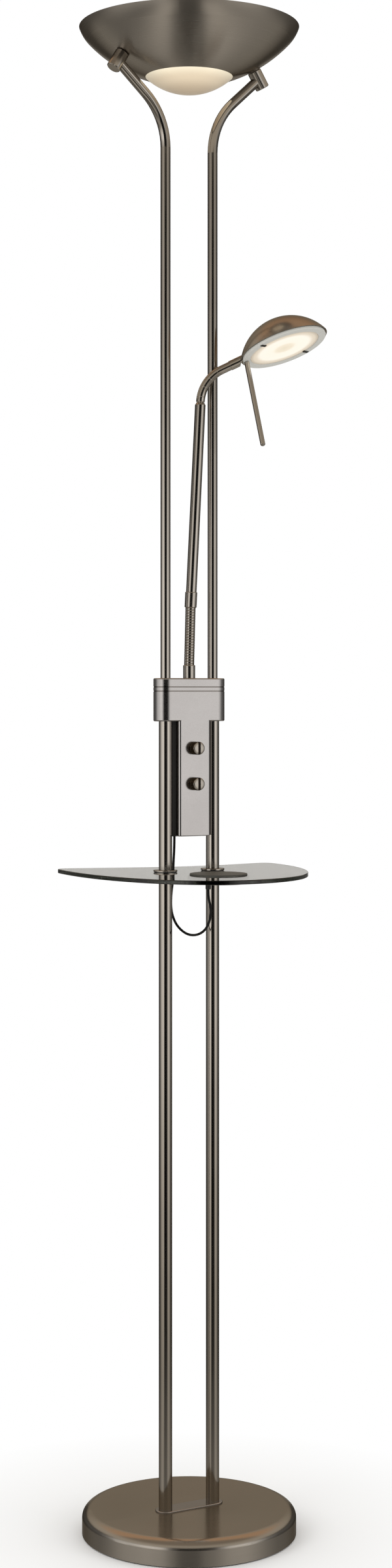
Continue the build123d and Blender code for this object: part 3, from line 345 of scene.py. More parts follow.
# %% A bare material
def new_material(name, colour, roughness, metallic=0.0):
    """A material with its node tree, its Principled shader and the place on the object."""
    material = bpy.data.materials.new(name)
    material.use_nodes = True
    tree = material.node_tree
    shader = tree.nodes["Principled BSDF"]
    shader.inputs["Base Color"].default_value = (*colour, 1)
    shader.inputs["Roughness"].default_value = roughness
    shader.inputs["Metallic"].default_value = metallic
    place = add_node(tree, "ShaderNodeTexCoord").outputs["Object"]
    return material, tree, shader, place


def vary_colour(tree, shader, colour, mask, amount):
    """Colour that darkens and lightens with a mask from 0 to 1."""
    dark = tuple(part * (1 - amount) for part in colour)
    light = tuple(min(1, part * (1 + amount)) for part in colour)
    varied = colour_ramp(tree, mask, [(0.25, dark), (0.75, light)])
    tree.links.new(varied, shader.inputs["Base Color"])


def vary_roughness(tree, shader, mask, low, high):
    tree.links.new(stretch(tree, mask, 0.3, 0.7, low, high), shader.inputs["Roughness"])


def raise_surface(tree, shader, mask, depth, strength=1.0):
    bump = add_node(tree, "ShaderNodeBump")
    bump.inputs["Strength"].default_value = strength
    bump.inputs["Distance"].default_value = depth
    tree.links.new(mask, bump.inputs["Height"])
    tree.links.new(bump.outputs["Normal"], shader.inputs["Normal"])


# %% [markdown]
# ### Satin nickel
# The same plating covers nearly the whole lamp, a warm grey metal. It is brushed along the poles
# and the arm, in rings on the spun bowl and foot, and blasted evenly on the bracket, the reading
# shade and the small parts. Rings blur a reflection across them and keep it sharp along them, so
# the spun pieces get an anisotropic shine whose tangent runs round the lamp. The even grain and
# the lines also change the roughness a little and raise the surface by a few hundredths of a
# millimetre. Metal darkens towards its outline, which is what the edge colour is for.

# %% Satin nickel, brushed three ways
NICKEL = (0.46, 0.425, 0.385)
NICKEL_EDGE = (0.4, 0.37, 0.33)
BRUSH_HEIGHT = 0.02 * MM


def satin_nickel(name, way, low=0.2, high=0.3, colour=NICKEL, depth=0.08, one_way=0.0):
    """Satin nickel brushed 'upright' along Z, in 'rings' about Z, or 'even' without a direction."""
    material, tree, shader, place = new_material(name, colour, (low + high) / 2, 1.0)
    if way == "rings":
        place = use_group(tree, ring_group, Place=place).outputs["Rings"]
        round_about = add_node(tree, "ShaderNodeTangent", direction_type="RADIAL", axis="Z")
        tree.links.new(round_about.outputs[0], shader.inputs["Tangent"])
        shader.inputs["Anisotropic"].default_value = one_way
        shader.inputs["Anisotropic Rotation"].default_value = 0.25
    if way == "even":
        lines = use_group(tree, grain_group, Place=place, Fineness=1100.0)
        mask = lines.outputs["Grain"]
    else:
        lines = use_group(tree, brush_group, Place=place, Fineness=1600.0, Length=20.0)
        mask = lines.outputs["Lines"]
    vary_colour(tree, shader, colour, lines.outputs["Cloud"], 0.04)
    vary_roughness(tree, shader, mask, low, high)
    raise_surface(tree, shader, mask, BRUSH_HEIGHT, depth)
    shader.inputs["Specular Tint"].default_value = (*NICKEL_EDGE, 1)
    return material


satin_nickel("satin_nickel_poles", "upright", 0.08, 0.13, depth=0.04)
satin_nickel("satin_nickel_foot", "rings", 0.18, 0.25, depth=0.05, one_way=0.7)
satin_nickel("satin_nickel_bowl", "rings", 0.27, 0.3, depth=0.012, one_way=0.95)
satin_nickel("satin_nickel_shade", "even", 0.22, 0.27, depth=0.02)
cast_nickel = satin_nickel("satin_nickel_cast", "even", 0.14, 0.22, (0.47, 0.455, 0.455), 0.1)
satin_nickel("satin_nickel_small_parts", "even", 0.12, 0.18)
knob_nickel = satin_nickel("satin_nickel_knobs", "even", 0.22, 0.28)
print("satin nickel", [each.name for each in bpy.data.materials if "satin_nickel_" in each.name])

# %% [markdown]
# Shade is painted into narrow places. The two engraved lines round the bracket, and the fluted
# side and the slot of a knob, get a darker colour than the open faces, which stands in for the
# shade that falls in them. Each mask is worked out from the place on the piece, so it needs no
# image map.

# %% Masks from the place on a piece
def paint_shade_where(material, mask, shade):
    """Multiplies a finish's colour by a painted shade where the mask is one."""
    tree = material.node_tree
    base_colour = tree.nodes["Principled BSDF"].inputs["Base Color"]
    plain = base_colour.links[0].from_socket
    tree.links.new(mix_colours(tree, mask, plain, shade, "MULTIPLY"), base_colour)


def coordinate(material, axis):
    """X, Y or Z of the place on the object."""
    tree = material.node_tree
    split_place = add_node(tree, "ShaderNodeSeparateXYZ")
    place = add_node(tree, "ShaderNodeTexCoord").outputs["Object"]
    tree.links.new(place, split_place.inputs[0])
    return split_place.outputs[axis]


def near_value(tree, value, middle, half_width, soft):
    """One where the value is within half_width of middle, fading over soft."""
    away = compute(tree, "ABSOLUTE", compute(tree, "SUBTRACT", value, middle))
    return stretch(tree, away, half_width, half_width + soft, 1.0, 0.0)


# %% [markdown]
# The lines lie a little below the bracket's top, which is read from the imported piece. A knob's
# side ends where its dome begins, measured from the knob's back along its spindle, and its slot
# lies in the middle of the dome.

# %% Painted shade in grooves, flutes and slots
BRACKET_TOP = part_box("bracket_cover")[1].z
LINE_DROPS = (10.45 * MM, 15.45 * MM)
LINE_HALF_WIDTH = 0.7 * MM
# Painted shade: the bracket's colour is darkened along its two engraved lines.
LINE_PAINTED_SHADE = (0.5, 0.48, 0.46)
for drop in LINE_DROPS:
    line_shade_mask = near_value(
        cast_nickel.node_tree, coordinate(cast_nickel, "Z"), BRACKET_TOP - drop,
        LINE_HALF_WIDTH, 0.3 * MM,
    )
    paint_shade_where(cast_nickel, line_shade_mask, LINE_PAINTED_SHADE)

KNOB_BACK = joint_places["upper_knob_turn"].y
SIDE_ENDS, DOME_BEGINS = 8.9 * MM, 9.4 * MM
SLOT_WIDTH = 3.2 * MM
# Painted shade: a knob's fluted side is darkened, and its slot is made nearly black.
SIDE_PAINTED_SHADE = (0.28, 0.25, 0.21)
SLOT_PAINTED_SHADE = (0.04, 0.035, 0.03)
knob_tree = knob_nickel.node_tree
side_shade_share = stretch(
    knob_tree, coordinate(knob_nickel, "Y"), KNOB_BACK - DOME_BEGINS, KNOB_BACK - SIDE_ENDS,
    0.0, 1.0,
)
paint_shade_where(knob_nickel, side_shade_share, SIDE_PAINTED_SHADE)
slot_shade_mask = near_value(
    knob_tree, coordinate(knob_nickel, "X"), 0.0, SLOT_WIDTH / 2, 0.1 * MM
)
paint_shade_where(knob_nickel, slot_shade_mask, SLOT_PAINTED_SHADE)
print("engraved lines at", [round(BRACKET_TOP - drop, 4) for drop in LINE_DROPS])

# %% [markdown]
# ### Plain metals
# Bolts and screws are zinc plated or black, the heat sink and the LED plate are bare aluminium,
# and the coil of the charging pad is copper. They are mostly out of sight, so their recipes are
# short.


# %% Plain metals
def plain_metal(name, colour, roughness):
    material, tree, shader, place = new_material(name, colour, roughness, 1.0)
    grain = use_group(tree, grain_group, Place=place, Fineness=700.0)
    vary_colour(tree, shader, colour, grain.outputs["Cloud"], 0.06)
    vary_roughness(tree, shader, grain.outputs["Grain"], roughness - 0.06, roughness + 0.06)
    return material


plain_metal("zinc_plate", (0.55, 0.56, 0.58), 0.32)
plain_metal("bare_aluminium", (0.7, 0.71, 0.72), 0.38)
plain_metal("blackened_steel", (0.05, 0.048, 0.045), 0.4)
plain_metal("copper_winding", (0.72, 0.36, 0.2), 0.3)
print("materials so far", len(bpy.data.materials))

# %% [markdown]
# ### Iron, plastics and rubber
# The weight in the foot is rough cast iron. The rear housing is moulded black plastic with a fine
# grain, and the charging pad has the same, only browner. The circuit boards are a glossy green,
# and the floor pad and the washers are a matt black foam and rubber. The cord's rubber is deep
# black with a weak shine.


# %% Moulded and rough materials
def grained(name, colour, roughness, fineness=900.0, depth=0.04 * MM, spread=0.06):
    material, tree, shader, place = new_material(name, colour, roughness)
    grain = use_group(tree, grain_group, Place=place, Fineness=fineness)
    vary_colour(tree, shader, colour, grain.outputs["Cloud"], 0.12)
    vary_roughness(tree, shader, grain.outputs["Grain"], roughness - spread, roughness + spread)
    raise_surface(tree, shader, grain.outputs["Grain"], depth)
    return material


grained("rough_cast_iron", (0.05, 0.048, 0.046), 0.7, 400.0, 0.3 * MM)
grained("moulded_black_plastic", (0.02, 0.019, 0.018), 0.42)
grained("charging_pad_plastic", (0.062, 0.06, 0.05), 0.5)
grained("green_circuit_board", (0.03, 0.13, 0.06), 0.45, 300.0, 0.05 * MM)
grained("foam_rubber", (0.025, 0.025, 0.025), 0.85, 1500.0, 0.2 * MM)
grained("soft_rubber", (0.02, 0.02, 0.02), 0.6)
cord_rubber = grained("cord_rubber", (0.005, 0.005, 0.005), 0.42, 1200.0, 0.02 * MM)
cord_shader = cord_rubber.node_tree.nodes["Principled BSDF"]
cord_shader.inputs["Specular IOR Level"].default_value = 0.3
print("materials so far", len(bpy.data.materials))

# %% [markdown]
# ### Glass
# The tray is 5 mm of smoked float glass. Seen through its face it greys what is behind it, and
# seen through its cut edge, where the light travels a long way in the glass, it is nearly black
# with a green cast. The shader tints by the normal: level faces get the pale smoke, upright ones
# the dark edge. That is simpler than an absorbing volume, and it exports.

# %% Smoked glass
GLASS_FACE = (0.4, 0.39, 0.365)
GLASS_EDGE = (0.013, 0.015, 0.01)
smoked_glass, tree, shader, _ = new_material("smoked_tray_glass", GLASS_FACE, 0.02)
shader.inputs["Transmission Weight"].default_value = 1.0
shader.inputs["IOR"].default_value = 1.5
glass_normal = add_node(tree, "ShaderNodeSeparateXYZ")
tree.links.new(add_node(tree, "ShaderNodeTexCoord").outputs["Normal"], glass_normal.inputs[0])
levelness = compute(tree, "ABSOLUTE", glass_normal.outputs["Z"])
glass_tint = colour_ramp(tree, levelness, [(0.55, GLASS_EDGE), (0.95, GLASS_FACE)])
tree.links.new(glass_tint, shader.inputs["Base Color"])
print("glass", smoked_glass.name)


# %% [markdown]
# ### Lit pieces
# Three pieces glow: the frosted dish in the bowl's belly, the opal disc of the reading head and
# the diffuser in the bowl. Each has an emission colour that changes over the piece, because the
# LEDs behind are nearer to some of it. A measure gives the value that runs through those colours:
# the height in the dish, the distance from the middle on the discs. A frosted surface also looks
# dimmer where it is seen edge on. The strength is below one, so that the surface keeps its
# colour.


# %% Glowing glass and plastic
def glowing(name, colour, glow_stops, measure, strength, roughness=0.4, edge_dim=0.0):
    """measure(tree, place) gives the 0 to 1 value that runs through the glow's colours."""
    _, tree, shader, place = new_material(name, colour, roughness)
    glow = colour_ramp(tree, measure(tree, place), glow_stops, "EASE")
    facing = add_node(tree, "ShaderNodeLayerWeight").outputs["Facing"]
    dimmer = colour_ramp(tree, facing, [(0.3, (1, 1, 1)), (1.0, (1 - edge_dim,) * 3)])
    dimmed = mix_colours(tree, 1.0, glow, dimmer, "MULTIPLY")
    tree.links.new(dimmed, shader.inputs["Emission Color"])
    shader.inputs["Emission Strength"].default_value = strength
    shader.inputs["Specular IOR Level"].default_value = 0.2


def height_measure(low, high):
    def measure(tree, place):
        split_place = add_node(tree, "ShaderNodeSeparateXYZ")
        tree.links.new(place, split_place.inputs[0])
        return stretch(tree, split_place.outputs["Z"], low, high, 0.0, 1.0)
    return measure


def distance_measure(centre, radius):
    def measure(tree, place):
        away = add_node(tree, "ShaderNodeVectorMath", operation="DISTANCE")
        tree.links.new(place, away.inputs[0])
        away.inputs[1].default_value = centre
        return stretch(tree, away.outputs["Value"], 0.0, radius, 0.0, 1.0)
    return measure


# %% [markdown]
# The dish is darkest at its lowest point and glows most 24 mm above that, beside the LEDs. The
# reading disc has its bright ring of LEDs between a dimmer middle and a grey rim.

# %% The three glows
def middle_of(name):
    low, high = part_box(name)
    return (low + high) / 2


DISH_GLOW = [(0.0, (0.4, 0.28, 0.16)), (0.45, (0.66, 0.53, 0.36)), (1.0, (1.0, 0.92, 0.7))]
DISH_GLOW_HEIGHT = 24 * MM
dish_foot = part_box("frosted_dish")[0].z
glowing(
    "frosted_dish_glass", (0.33, 0.29, 0.23), DISH_GLOW,
    height_measure(dish_foot, dish_foot + DISH_GLOW_HEIGHT), 0.78, 0.35, 0.75,
)
UPPER_GLOW = [(0.0, (1.0, 0.9, 0.72)), (1.0, (0.9, 0.78, 0.58))]
glowing(
    "upper_opal", (0.85, 0.83, 0.78), UPPER_GLOW,
    distance_measure(middle_of("uplight_diffuser"), 60 * MM), 0.7,
)
HEAD_GLOW = [
    (0.0, (0.78, 0.68, 0.5)), (0.2, (0.84, 0.74, 0.56)), (0.38, (1.0, 0.93, 0.8)),
    (0.7, (1.0, 0.94, 0.82)), (0.88, (0.68, 0.58, 0.44)), (1.0, (0.4, 0.33, 0.24)),
]
HEAD_DISC_RADIUS = 42.5 * MM
glowing(
    "head_opal", (0.3, 0.28, 0.25), HEAD_GLOW,
    distance_measure(middle_of("head_diffuser"), HEAD_DISC_RADIUS), 0.75,
)
print("the dish glows from", round(dish_foot, 3), "m")

# %% [markdown]
# The ring round the reading disc is a translucent grey plastic. A little of the light leaks into
# it, so it glows faintly beside the disc.

# %% Translucent ring
ring_plastic, _, shader, _ = new_material("translucent_ring", (0.5, 0.5, 0.47), 0.35)
shader.inputs["Emission Color"].default_value = (0.55, 0.52, 0.45, 1)
shader.inputs["Emission Strength"].default_value = 0.12
print("ring", ring_plastic.name, "and", len(bpy.data.materials) - 1, "other materials")

# %% [markdown]
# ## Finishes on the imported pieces
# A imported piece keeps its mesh, and only its material slot changes. The table lists the pieces
# under the name of their finish, so that a finish can be moved from one piece to another in one
# place.

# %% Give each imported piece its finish
FINISHES = {
    "satin_nickel_poles": [
        "lower_pole_left", "lower_pole_right", "upper_pole_left", "upper_pole_right", "arm_tube",
        "handle_rod",
    ],
    "satin_nickel_foot": ["base_cover"],
    "satin_nickel_bowl": ["bowl_shade"],
    "satin_nickel_shade": ["head_shade"],
    "satin_nickel_cast": ["bracket_cover", "foot_plate"],
    "satin_nickel_small_parts": [
        "bowl_barrel_left", "bowl_barrel_right", "neck_ferrule", "arm_collar", "head_stem",
        "tray_flanges", "tray_collars",
    ],
    "zinc_plate": ["pole_plugs", "pole_bolts", "barrel_screws", "grub_screws"],
    "bare_aluminium": ["head_heat_sink", "uplight_plate"],
    "blackened_steel": ["head_clips", "housing_screws"],
    "copper_winding": ["charger_coil"],
    "rough_cast_iron": ["base_weight"],
    "foam_rubber": ["base_pad"],
    "soft_rubber": ["tray_washers", "cable_grommet"],
    "moulded_black_plastic": [
        "rear_housing", "cord_inlet_bush", "column_cord_bush", "dimmer_units", "charger_plug",
    ],
    "charging_pad_plastic": ["charger_body", "charger_top"],
    "smoked_tray_glass": ["glass_tray"],
    "frosted_dish_glass": ["frosted_dish"],
    "upper_opal": ["uplight_diffuser"],
    "head_opal": ["head_diffuser"],
    "translucent_ring": ["head_ring"],
    "green_circuit_board": ["uplight_board", "head_board", "control_board"],
}


def give_finish(piece, finish):
    piece.data.materials.clear()
    piece.data.materials.append(bpy.data.materials[finish])


for finish, names in FINISHES.items():
    for name in names:
        give_finish(nodes[name], finish)
finished = sum(len(names) for names in FINISHES.values())
print("packed pieces finished", finished, "of", len(nodes))

# %% [markdown]
# ## The cord of the charging pad
# A thin black cord leaves the bracket, goes down through the tray beside the left pole, hangs in
# a loop below it and comes up into the plug of the charging pad. Its points are the packed
# cord's, in millimetres. The drop to the tray has points of its own, and the loop lies in an
# upright plane between the hole in the tray and the plug, so its points are distances along that
# plane and heights.

# %% The cord's way
CORD_RADIUS = 1.5 * MM
cord_drop = [(-14.5, 10.2, 834.5), (-14.5, 10.2, 820.0), (-15.7, 10.5, 801.0)]
cord_hole = Vector((-16.4, 10.6, 0))
plug_place = Vector((0, -45.0, 0))
cord_loop = [
    (0.2, 779.5), (-3.2, 761.0), (-3.0, 744.0), (2.8, 730.5), (12.5, 721.5), (26.0, 716.0),
    (41.0, 717.0), (54.0, 724.0), (61.5, 737.0), (62.8, 750.0),
]
loop_way = (plug_place - cord_hole).normalized()
cord_points = [Vector(point) for point in cord_drop]
for along, point_height in cord_loop:
    cord_points.append(cord_hole + loop_way * along + Vector((0, 0, point_height)))
cord_points += [plug_place + Vector((0, 0, point_height)) for point_height in (762.5, 772.0)]
print("cord points", len(cord_points))

# %% [markdown]
# The cord itself is one smooth curve, a NURBS spline through those control points with a round
# bevel. A curve stays easy to change, and it has no joints where it could crack.

# %% Cord
cord_curve = bpy.data.curves.new("charging_cord", "CURVE")
cord_curve.dimensions = "3D"
cord_curve.bevel_depth = CORD_RADIUS
cord_curve.bevel_resolution = 4
cord_curve.use_fill_caps = True
spline = cord_curve.splines.new("NURBS")
spline.points.add(len(cord_points) - 1)
for spline_point, place in zip(spline.points, cord_points):
    spline_point.co = (*(place * MM), 1)
spline.order_u = 3
spline.use_endpoint_u = True
spline.resolution_u = 8
charging_cord = bpy.data.objects.new("charging_cord", cord_curve)
bpy.context.scene.collection.objects.link(charging_cord)
cord_curve.materials.append(cord_rubber)
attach(charging_cord, "frame")
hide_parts("charger_cord")

# %% [markdown]
# ## The wound hose of the lower neck
# A gooseneck is a spring wound of flattened wire, each turn touching the next, with a second wire
# inside. Its flat outer faces shine like the poles, and a fine groove runs between the turns. It
# bends anywhere, and here seven pivots stand in for that. One piece of hose crosses each pivot,
# from the middle of one link to the middle of the next.

# %% Where the lower neck's pivots are
lower_joints = [f"lower_bend_{index}" for index in range(1, 8)]
hose_start = joint_places[lower_joints[0]]
hose_span = joint_places[lower_joints[-1]] - hose_start
hose_along = hose_span.normalized()
ARM_ACROSS = Vector((math.cos(CAMERA_TURN), -math.sin(CAMERA_TURN), 0))
LINK_LENGTH = hose_span.length / (len(lower_joints) - 1)
TURNS_PER_LINK = 3.5
WIRE_PITCH = LINK_LENGTH / TURNS_PER_LINK
WIRE_WIDTH = 1.02 * WIRE_PITCH
WIRE_CORNER = 0.14 * WIRE_WIDTH
HOSE_RADIUS = 6.1 * MM
PIVOT_TO_END = 0.75 * MM
print("wire", round(WIRE_WIDTH / MM, 2), "mm wide, link", round(LINK_LENGTH / MM, 2), "mm")

# %% [markdown]
# The wire starts as its own section, a square with rounded corners, and a Screw modifier carries
# it round and up. All the pieces use the same winding, so that each begins where the last one
# ended: a piece is turned by as much as the long spring would have turned at its height.

# %% One piece of wound wire
STEPS_PER_TURN = 36
UPRIGHT = math.radians(90)


def wound_wire(name, low, high):
    """Close-wound wire round Z from low to high, turned as one long spring is there."""
    turns = (high - low) / WIRE_PITCH
    section_place = (HOSE_RADIUS - WIRE_WIDTH / 2, 0, 0)
    bpy.ops.mesh.primitive_plane_add(
        size=WIRE_WIDTH, location=section_place, rotation=(UPRIGHT, 0, 0)
    )
    wire = bpy.context.object
    wire.name = name
    settle(wire)
    pick(wire)
    bpy.ops.object.mode_set(mode="EDIT")
    bpy.ops.mesh.select_all(action="SELECT")
    bpy.ops.mesh.bevel(offset=WIRE_CORNER, segments=3, affect="VERTICES")
    bpy.ops.mesh.select_all(action="SELECT")
    bpy.ops.mesh.delete(type="ONLY_FACE")
    bpy.ops.object.mode_set(mode="OBJECT")
    screw = wire.modifiers.new("winding", "SCREW")
    screw.axis = "Z"
    screw.angle = 2 * math.pi * turns
    screw.screw_offset = high - low
    screw.steps = max(8, round(STEPS_PER_TURN * turns))
    screw.render_steps = screw.steps
    apply_modifiers(wire)
    pick(wire)
    bpy.ops.object.mode_set(mode="EDIT")
    bpy.ops.mesh.select_mode(type="EDGE")
    bpy.ops.mesh.select_all(action="DESELECT")
    bpy.ops.mesh.select_non_manifold()
    bpy.ops.mesh.edge_face_add()
    bpy.ops.object.mode_set(mode="OBJECT")
    start_turn = Matrix.Rotation(2 * math.pi * low / WIRE_PITCH, 4, "Z")
    return settle(wire, Matrix.Translation((0, 0, low)) @ start_turn)


# %% [markdown]
# Inside the wire sits a plain liner, so that no light shows between the turns when the hose is
# bent. It is a circle extruded upwards a step at a time, because it needs rings to bend at.

# %% A stepped tube
def stepped_tube(name, rings, sides=24):
    """A closed tube round Z through (height, radius) rings, made by extruding a disc."""
    first_height, first_radius = rings[0]
    bpy.ops.mesh.primitive_circle_add(
        vertices=sides, radius=first_radius, fill_type="NGON", location=(0, 0, first_height)
    )
    tube = bpy.context.object
    tube.name = name
    settle(tube)
    pick(tube)
    bpy.ops.object.mode_set(mode="EDIT")
    bpy.ops.mesh.select_mode(type="FACE")
    bpy.ops.mesh.select_all(action="SELECT")
    height, radius = first_height, first_radius
    for next_height, next_radius in rings[1:]:
        rise = (0, 0, next_height - height)
        bpy.ops.mesh.extrude_region_move(TRANSFORM_OT_translate={"value": rise})
        factor = next_radius / radius
        bpy.ops.transform.resize(value=(factor, factor, 1))
        height, radius = next_height, next_radius
    bpy.ops.object.mode_set(mode="OBJECT")
    return tidy_mesh(tube)


def join_pieces(name, *pieces):
    deselect_all()
    for piece in pieces:
        piece.select_set(True)
    bpy.context.view_layer.objects.active = pieces[0]
    bpy.ops.object.join()
    pieces[0].name = name
    return pieces[0]


# %% [markdown]
# Each piece is wire and liner in one object, named after its pivot. The first piece begins inside
# the ferrule and the last one ends inside the collar, by half a wire, so that no gap shows there.
# The flat faces of the wire stay flat in the shading, because only bends of less than 20 degrees
# are smoothed. There is one pivot more than there are links, so the last piece replaces no packed
# link.

# %% The lower neck, one piece for each pivot
LINER_RADIUS = HOSE_RADIUS - 0.8 * WIRE_WIDTH
LINER_STEPS = 6
SMOOTHED_UP_TO = math.radians(20)
END_REACH = PIVOT_TO_END + WIRE_WIDTH / 2
hose_place = frame_at(hose_start, hose_along, ARM_ACROSS)
for index, joint in enumerate(lower_joints):
    first, last = index == 0, index == len(lower_joints) - 1
    pivot_height = index * LINK_LENGTH
    low = pivot_height - (END_REACH if first else LINK_LENGTH / 2)
    high = pivot_height + (END_REACH if last else LINK_LENGTH / 2)
    wire = wound_wire(f"hose_wire_{index + 1}", low, high)
    bpy.ops.object.shade_smooth_by_angle(angle=SMOOTHED_UP_TO)
    step_height = (high - low) / LINER_STEPS
    steps = [(low + step_height * step, LINER_RADIUS) for step in range(LINER_STEPS + 1)]
    liner = stepped_tube(f"hose_liner_{index + 1}", steps)
    give_finish(wire, "satin_nickel_small_parts")
    give_finish(liner, "zinc_plate")
    hose = join_pieces(f"lower_hose_{index + 1}", wire, liner)
    settle(hose, hose_place)
    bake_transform(hose)
    if not last:
        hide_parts(f"lower_neck_{index + 1}")
print("hose pieces", len(lower_joints))

# %% [markdown]
# ## The sleeve of the upper neck
# The upper neck is a finer hose under a satin sleeve, so it shows only faint rings. Its line is a
# part of a circle, from the lean of the stiff tube to the lean of the head, and it goes on
# straight to the swivel. A place on the line is found from how far the neck leans there.

# %% Where the upper neck runs
upper_joints = [f"upper_bend_{index}" for index in range(1, 6)]
upper_pivots = [joint_places[name] for name in upper_joints]
BEND_RADIUS = 45.0 * MM
STRAIGHT_END = 11.1 * MM
ARM_LEAN = math.radians(2.75)
END_LEAN = math.radians(64.5)
STEP_LEAN = (END_LEAN - ARM_LEAN) / (len(upper_joints) - 1)


def lean_way(lean):
    """Direction of the neck's line where it leans by this much."""
    return ARM_ACROSS * math.sin(lean) + Vector((0, 0, math.cos(lean)))


def inward_way(lean):
    """Direction from the neck's line to the middle of its bend, where it leans by this much."""
    return ARM_ACROSS * math.cos(lean) - Vector((0, 0, math.sin(lean)))


bend_middle = upper_pivots[0] + inward_way(ARM_LEAN) * BEND_RADIUS
bend_axis = lean_way(0).cross(ARM_ACROSS).normalized()


def bend_place(lean):
    """Point of the neck's line where it leans by this much."""
    return bend_middle - inward_way(lean) * BEND_RADIUS


gap_from_pivot = (bend_place(END_LEAN) - upper_pivots[-1]).length
print("neck line meets the last pivot within", round(gap_from_pivot / MM, 3), "mm")


# %% [markdown]
# A disc is spun about the middle of the bend in small steps, and every second ring of it is drawn
# in a little. Where a straight end is asked for, the disc is extruded on along its own line.

# %% One piece of sleeve
SLEEVE_RADIUS = 5.3 * MM
SLEEVE_DIP = 0.16 * MM
SLEEVE_SIDES = 28
RINGS_PER_STEP = 22
STRAIGHT_RINGS = 20


def neck_lean(place):
    """How far the neck leans where this point of it is."""
    away = bend_middle - place
    return math.atan2(-away.z, away.dot(ARM_ACROSS))


def sleeve_piece(name, start_lean, end_lean, straight=0.0):
    """Closed piece of sleeve round the neck's bend, with a straight end of that length."""
    start_place = frame_at(bend_place(start_lean), lean_way(start_lean), bend_axis)
    bpy.ops.mesh.primitive_circle_add(
        vertices=SLEEVE_SIDES, radius=SLEEVE_RADIUS, fill_type="NGON"
    )
    sleeve = bpy.context.object
    sleeve.name = name
    settle(sleeve, start_place)
    pick(sleeve)
    bpy.ops.object.mode_set(mode="EDIT")
    bpy.ops.mesh.select_mode(type="FACE")
    bpy.ops.mesh.select_all(action="SELECT")
    rings = 2
    if end_lean > start_lean:
        rings = max(2, round((end_lean - start_lean) / STEP_LEAN * RINGS_PER_STEP / 2) * 2)
        turn = start_lean - end_lean
        bpy.ops.mesh.spin(steps=rings, angle=turn, center=bend_middle, axis=bend_axis)
    if straight:
        for _ in range(STRAIGHT_RINGS):
            move = lean_way(end_lean) * (straight / STRAIGHT_RINGS)
            bpy.ops.mesh.extrude_region_move(TRANSFORM_OT_translate={"value": move})
    bpy.ops.object.mode_set(mode="OBJECT")
    tidy_mesh(sleeve, 60)

    def in_valley(place):
        """True on every second ring, which is drawn in between two ribs."""
        lean = neck_lean(place)
        if lean < end_lean - 1e-5:
            ring = (lean - start_lean) / (end_lean - start_lean) * rings
        else:
            past = (place - bend_place(end_lean)).dot(lean_way(end_lean))
            ring = past / max(straight, 1e-9) * STRAIGHT_RINGS if straight else 0
        return abs(ring - round(ring)) < 0.1 and round(ring) % 2 == 1

    pick_vertices(sleeve, in_valley)
    bpy.ops.transform.shrink_fatten(value=-SLEEVE_DIP)
    bpy.ops.object.mode_set(mode="OBJECT")
    bpy.ops.object.shade_smooth_by_angle(angle=math.radians(60))
    return sleeve


# %% [markdown]
# One piece crosses each of the five pivots, as on the lower neck. It follows the bend from end
# to end, so that it meets its neighbours, and the last one goes on straight.

# %% The upper neck, one piece for each pivot
for index, joint in enumerate(upper_joints):
    first, last = index == 0, index == len(upper_joints) - 1
    pivot, pivot_lean = joint_places[joint], ARM_LEAN + STEP_LEAN * index
    start_lean = pivot_lean if first else pivot_lean - STEP_LEAN / 2
    end_lean = pivot_lean if last else pivot_lean + STEP_LEAN / 2
    straight = STRAIGHT_END if last else 0
    sleeve = sleeve_piece(f"upper_sleeve_{index + 1}", start_lean, end_lean, straight)
    give_finish(sleeve, "satin_nickel_small_parts")
    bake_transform(sleeve)
    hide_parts(f"upper_neck_{index + 1}")
print("sleeve pieces", len(upper_joints))

# %% [markdown]
# ## The dimmer knobs
# A turned knob is a stack of rings: spindle, back, side and a shallow dome, each with its height
# above the knob's back and its radius. Close pairs of rings keep an edge crisp.

# %% The knob's rings
KNOB_RADIUS = 7.7 * MM
KNOB_LENGTH = 10.0 * MM
SPINDLE_RADIUS = 2.0 * MM
SPINDLE_LENGTH = 10.9 * MM
knob_rings = [
    (-SPINDLE_LENGTH, SPINDLE_RADIUS), (0, SPINDLE_RADIUS), (0, 0.95 * KNOB_RADIUS),
    (0.3 * MM, KNOB_RADIUS), (1.0 * MM, KNOB_RADIUS), (1.2 * MM, KNOB_RADIUS),
    (7.4 * MM, KNOB_RADIUS), (7.6 * MM, KNOB_RADIUS), (8.6 * MM, KNOB_RADIUS),
    (9.15 * MM, 0.97 * KNOB_RADIUS), (9.55 * MM, 0.91 * KNOB_RADIUS),
    (9.8 * MM, 0.8 * KNOB_RADIUS), (9.9 * MM, 0.6 * KNOB_RADIUS),
    (9.97 * MM, 0.34 * KNOB_RADIUS), (KNOB_LENGTH, 0.1 * KNOB_RADIUS),
]
print("knob rings", len(knob_rings))

# %% [markdown]
# The side is fluted for the fingers: every second pair of its rows is drawn towards the middle. A
# slot across the dome shows how far the knob is turned, and a Boolean with a box cuts it.

# %% Model a knob
SLOT_DEPTH = 0.8 * MM
KNOB_SIDES = 96
FLUTE_SHRINK = 0.955
FLUTE_START, FLUTE_END = 1.1 * MM, 7.5 * MM
KNOB_CORE = 5 * MM


def model_knob(name):
    knob = stepped_tube(name, knob_rings, KNOB_SIDES)

    def in_flute(place):
        row = round(math.atan2(place.y, place.x) / (2 * math.pi) * KNOB_SIDES)
        on_the_side = FLUTE_START < place.z < FLUTE_END and place.xy.length > KNOB_CORE
        return on_the_side and row % 4 < 2

    pick_vertices(knob, in_flute)
    bpy.ops.transform.resize(
        value=(FLUTE_SHRINK, FLUTE_SHRINK, 1), center_override=(0, 0, 0)
    )
    bpy.ops.object.mode_set(mode="OBJECT")
    bpy.ops.mesh.primitive_cube_add(size=1, location=(0, 0, KNOB_LENGTH))
    cutter = bpy.context.object
    cutter.scale = (SLOT_WIDTH, 2.4 * KNOB_RADIUS, 2 * SLOT_DEPTH)
    settle(cutter)
    cut = knob.modifiers.new("slot", "BOOLEAN")
    cut.operation = "DIFFERENCE"
    cut.solver = "EXACT"
    cut.object = cutter
    apply_modifiers(knob)
    bpy.data.objects.remove(cutter)
    return tidy_mesh(knob, 28)


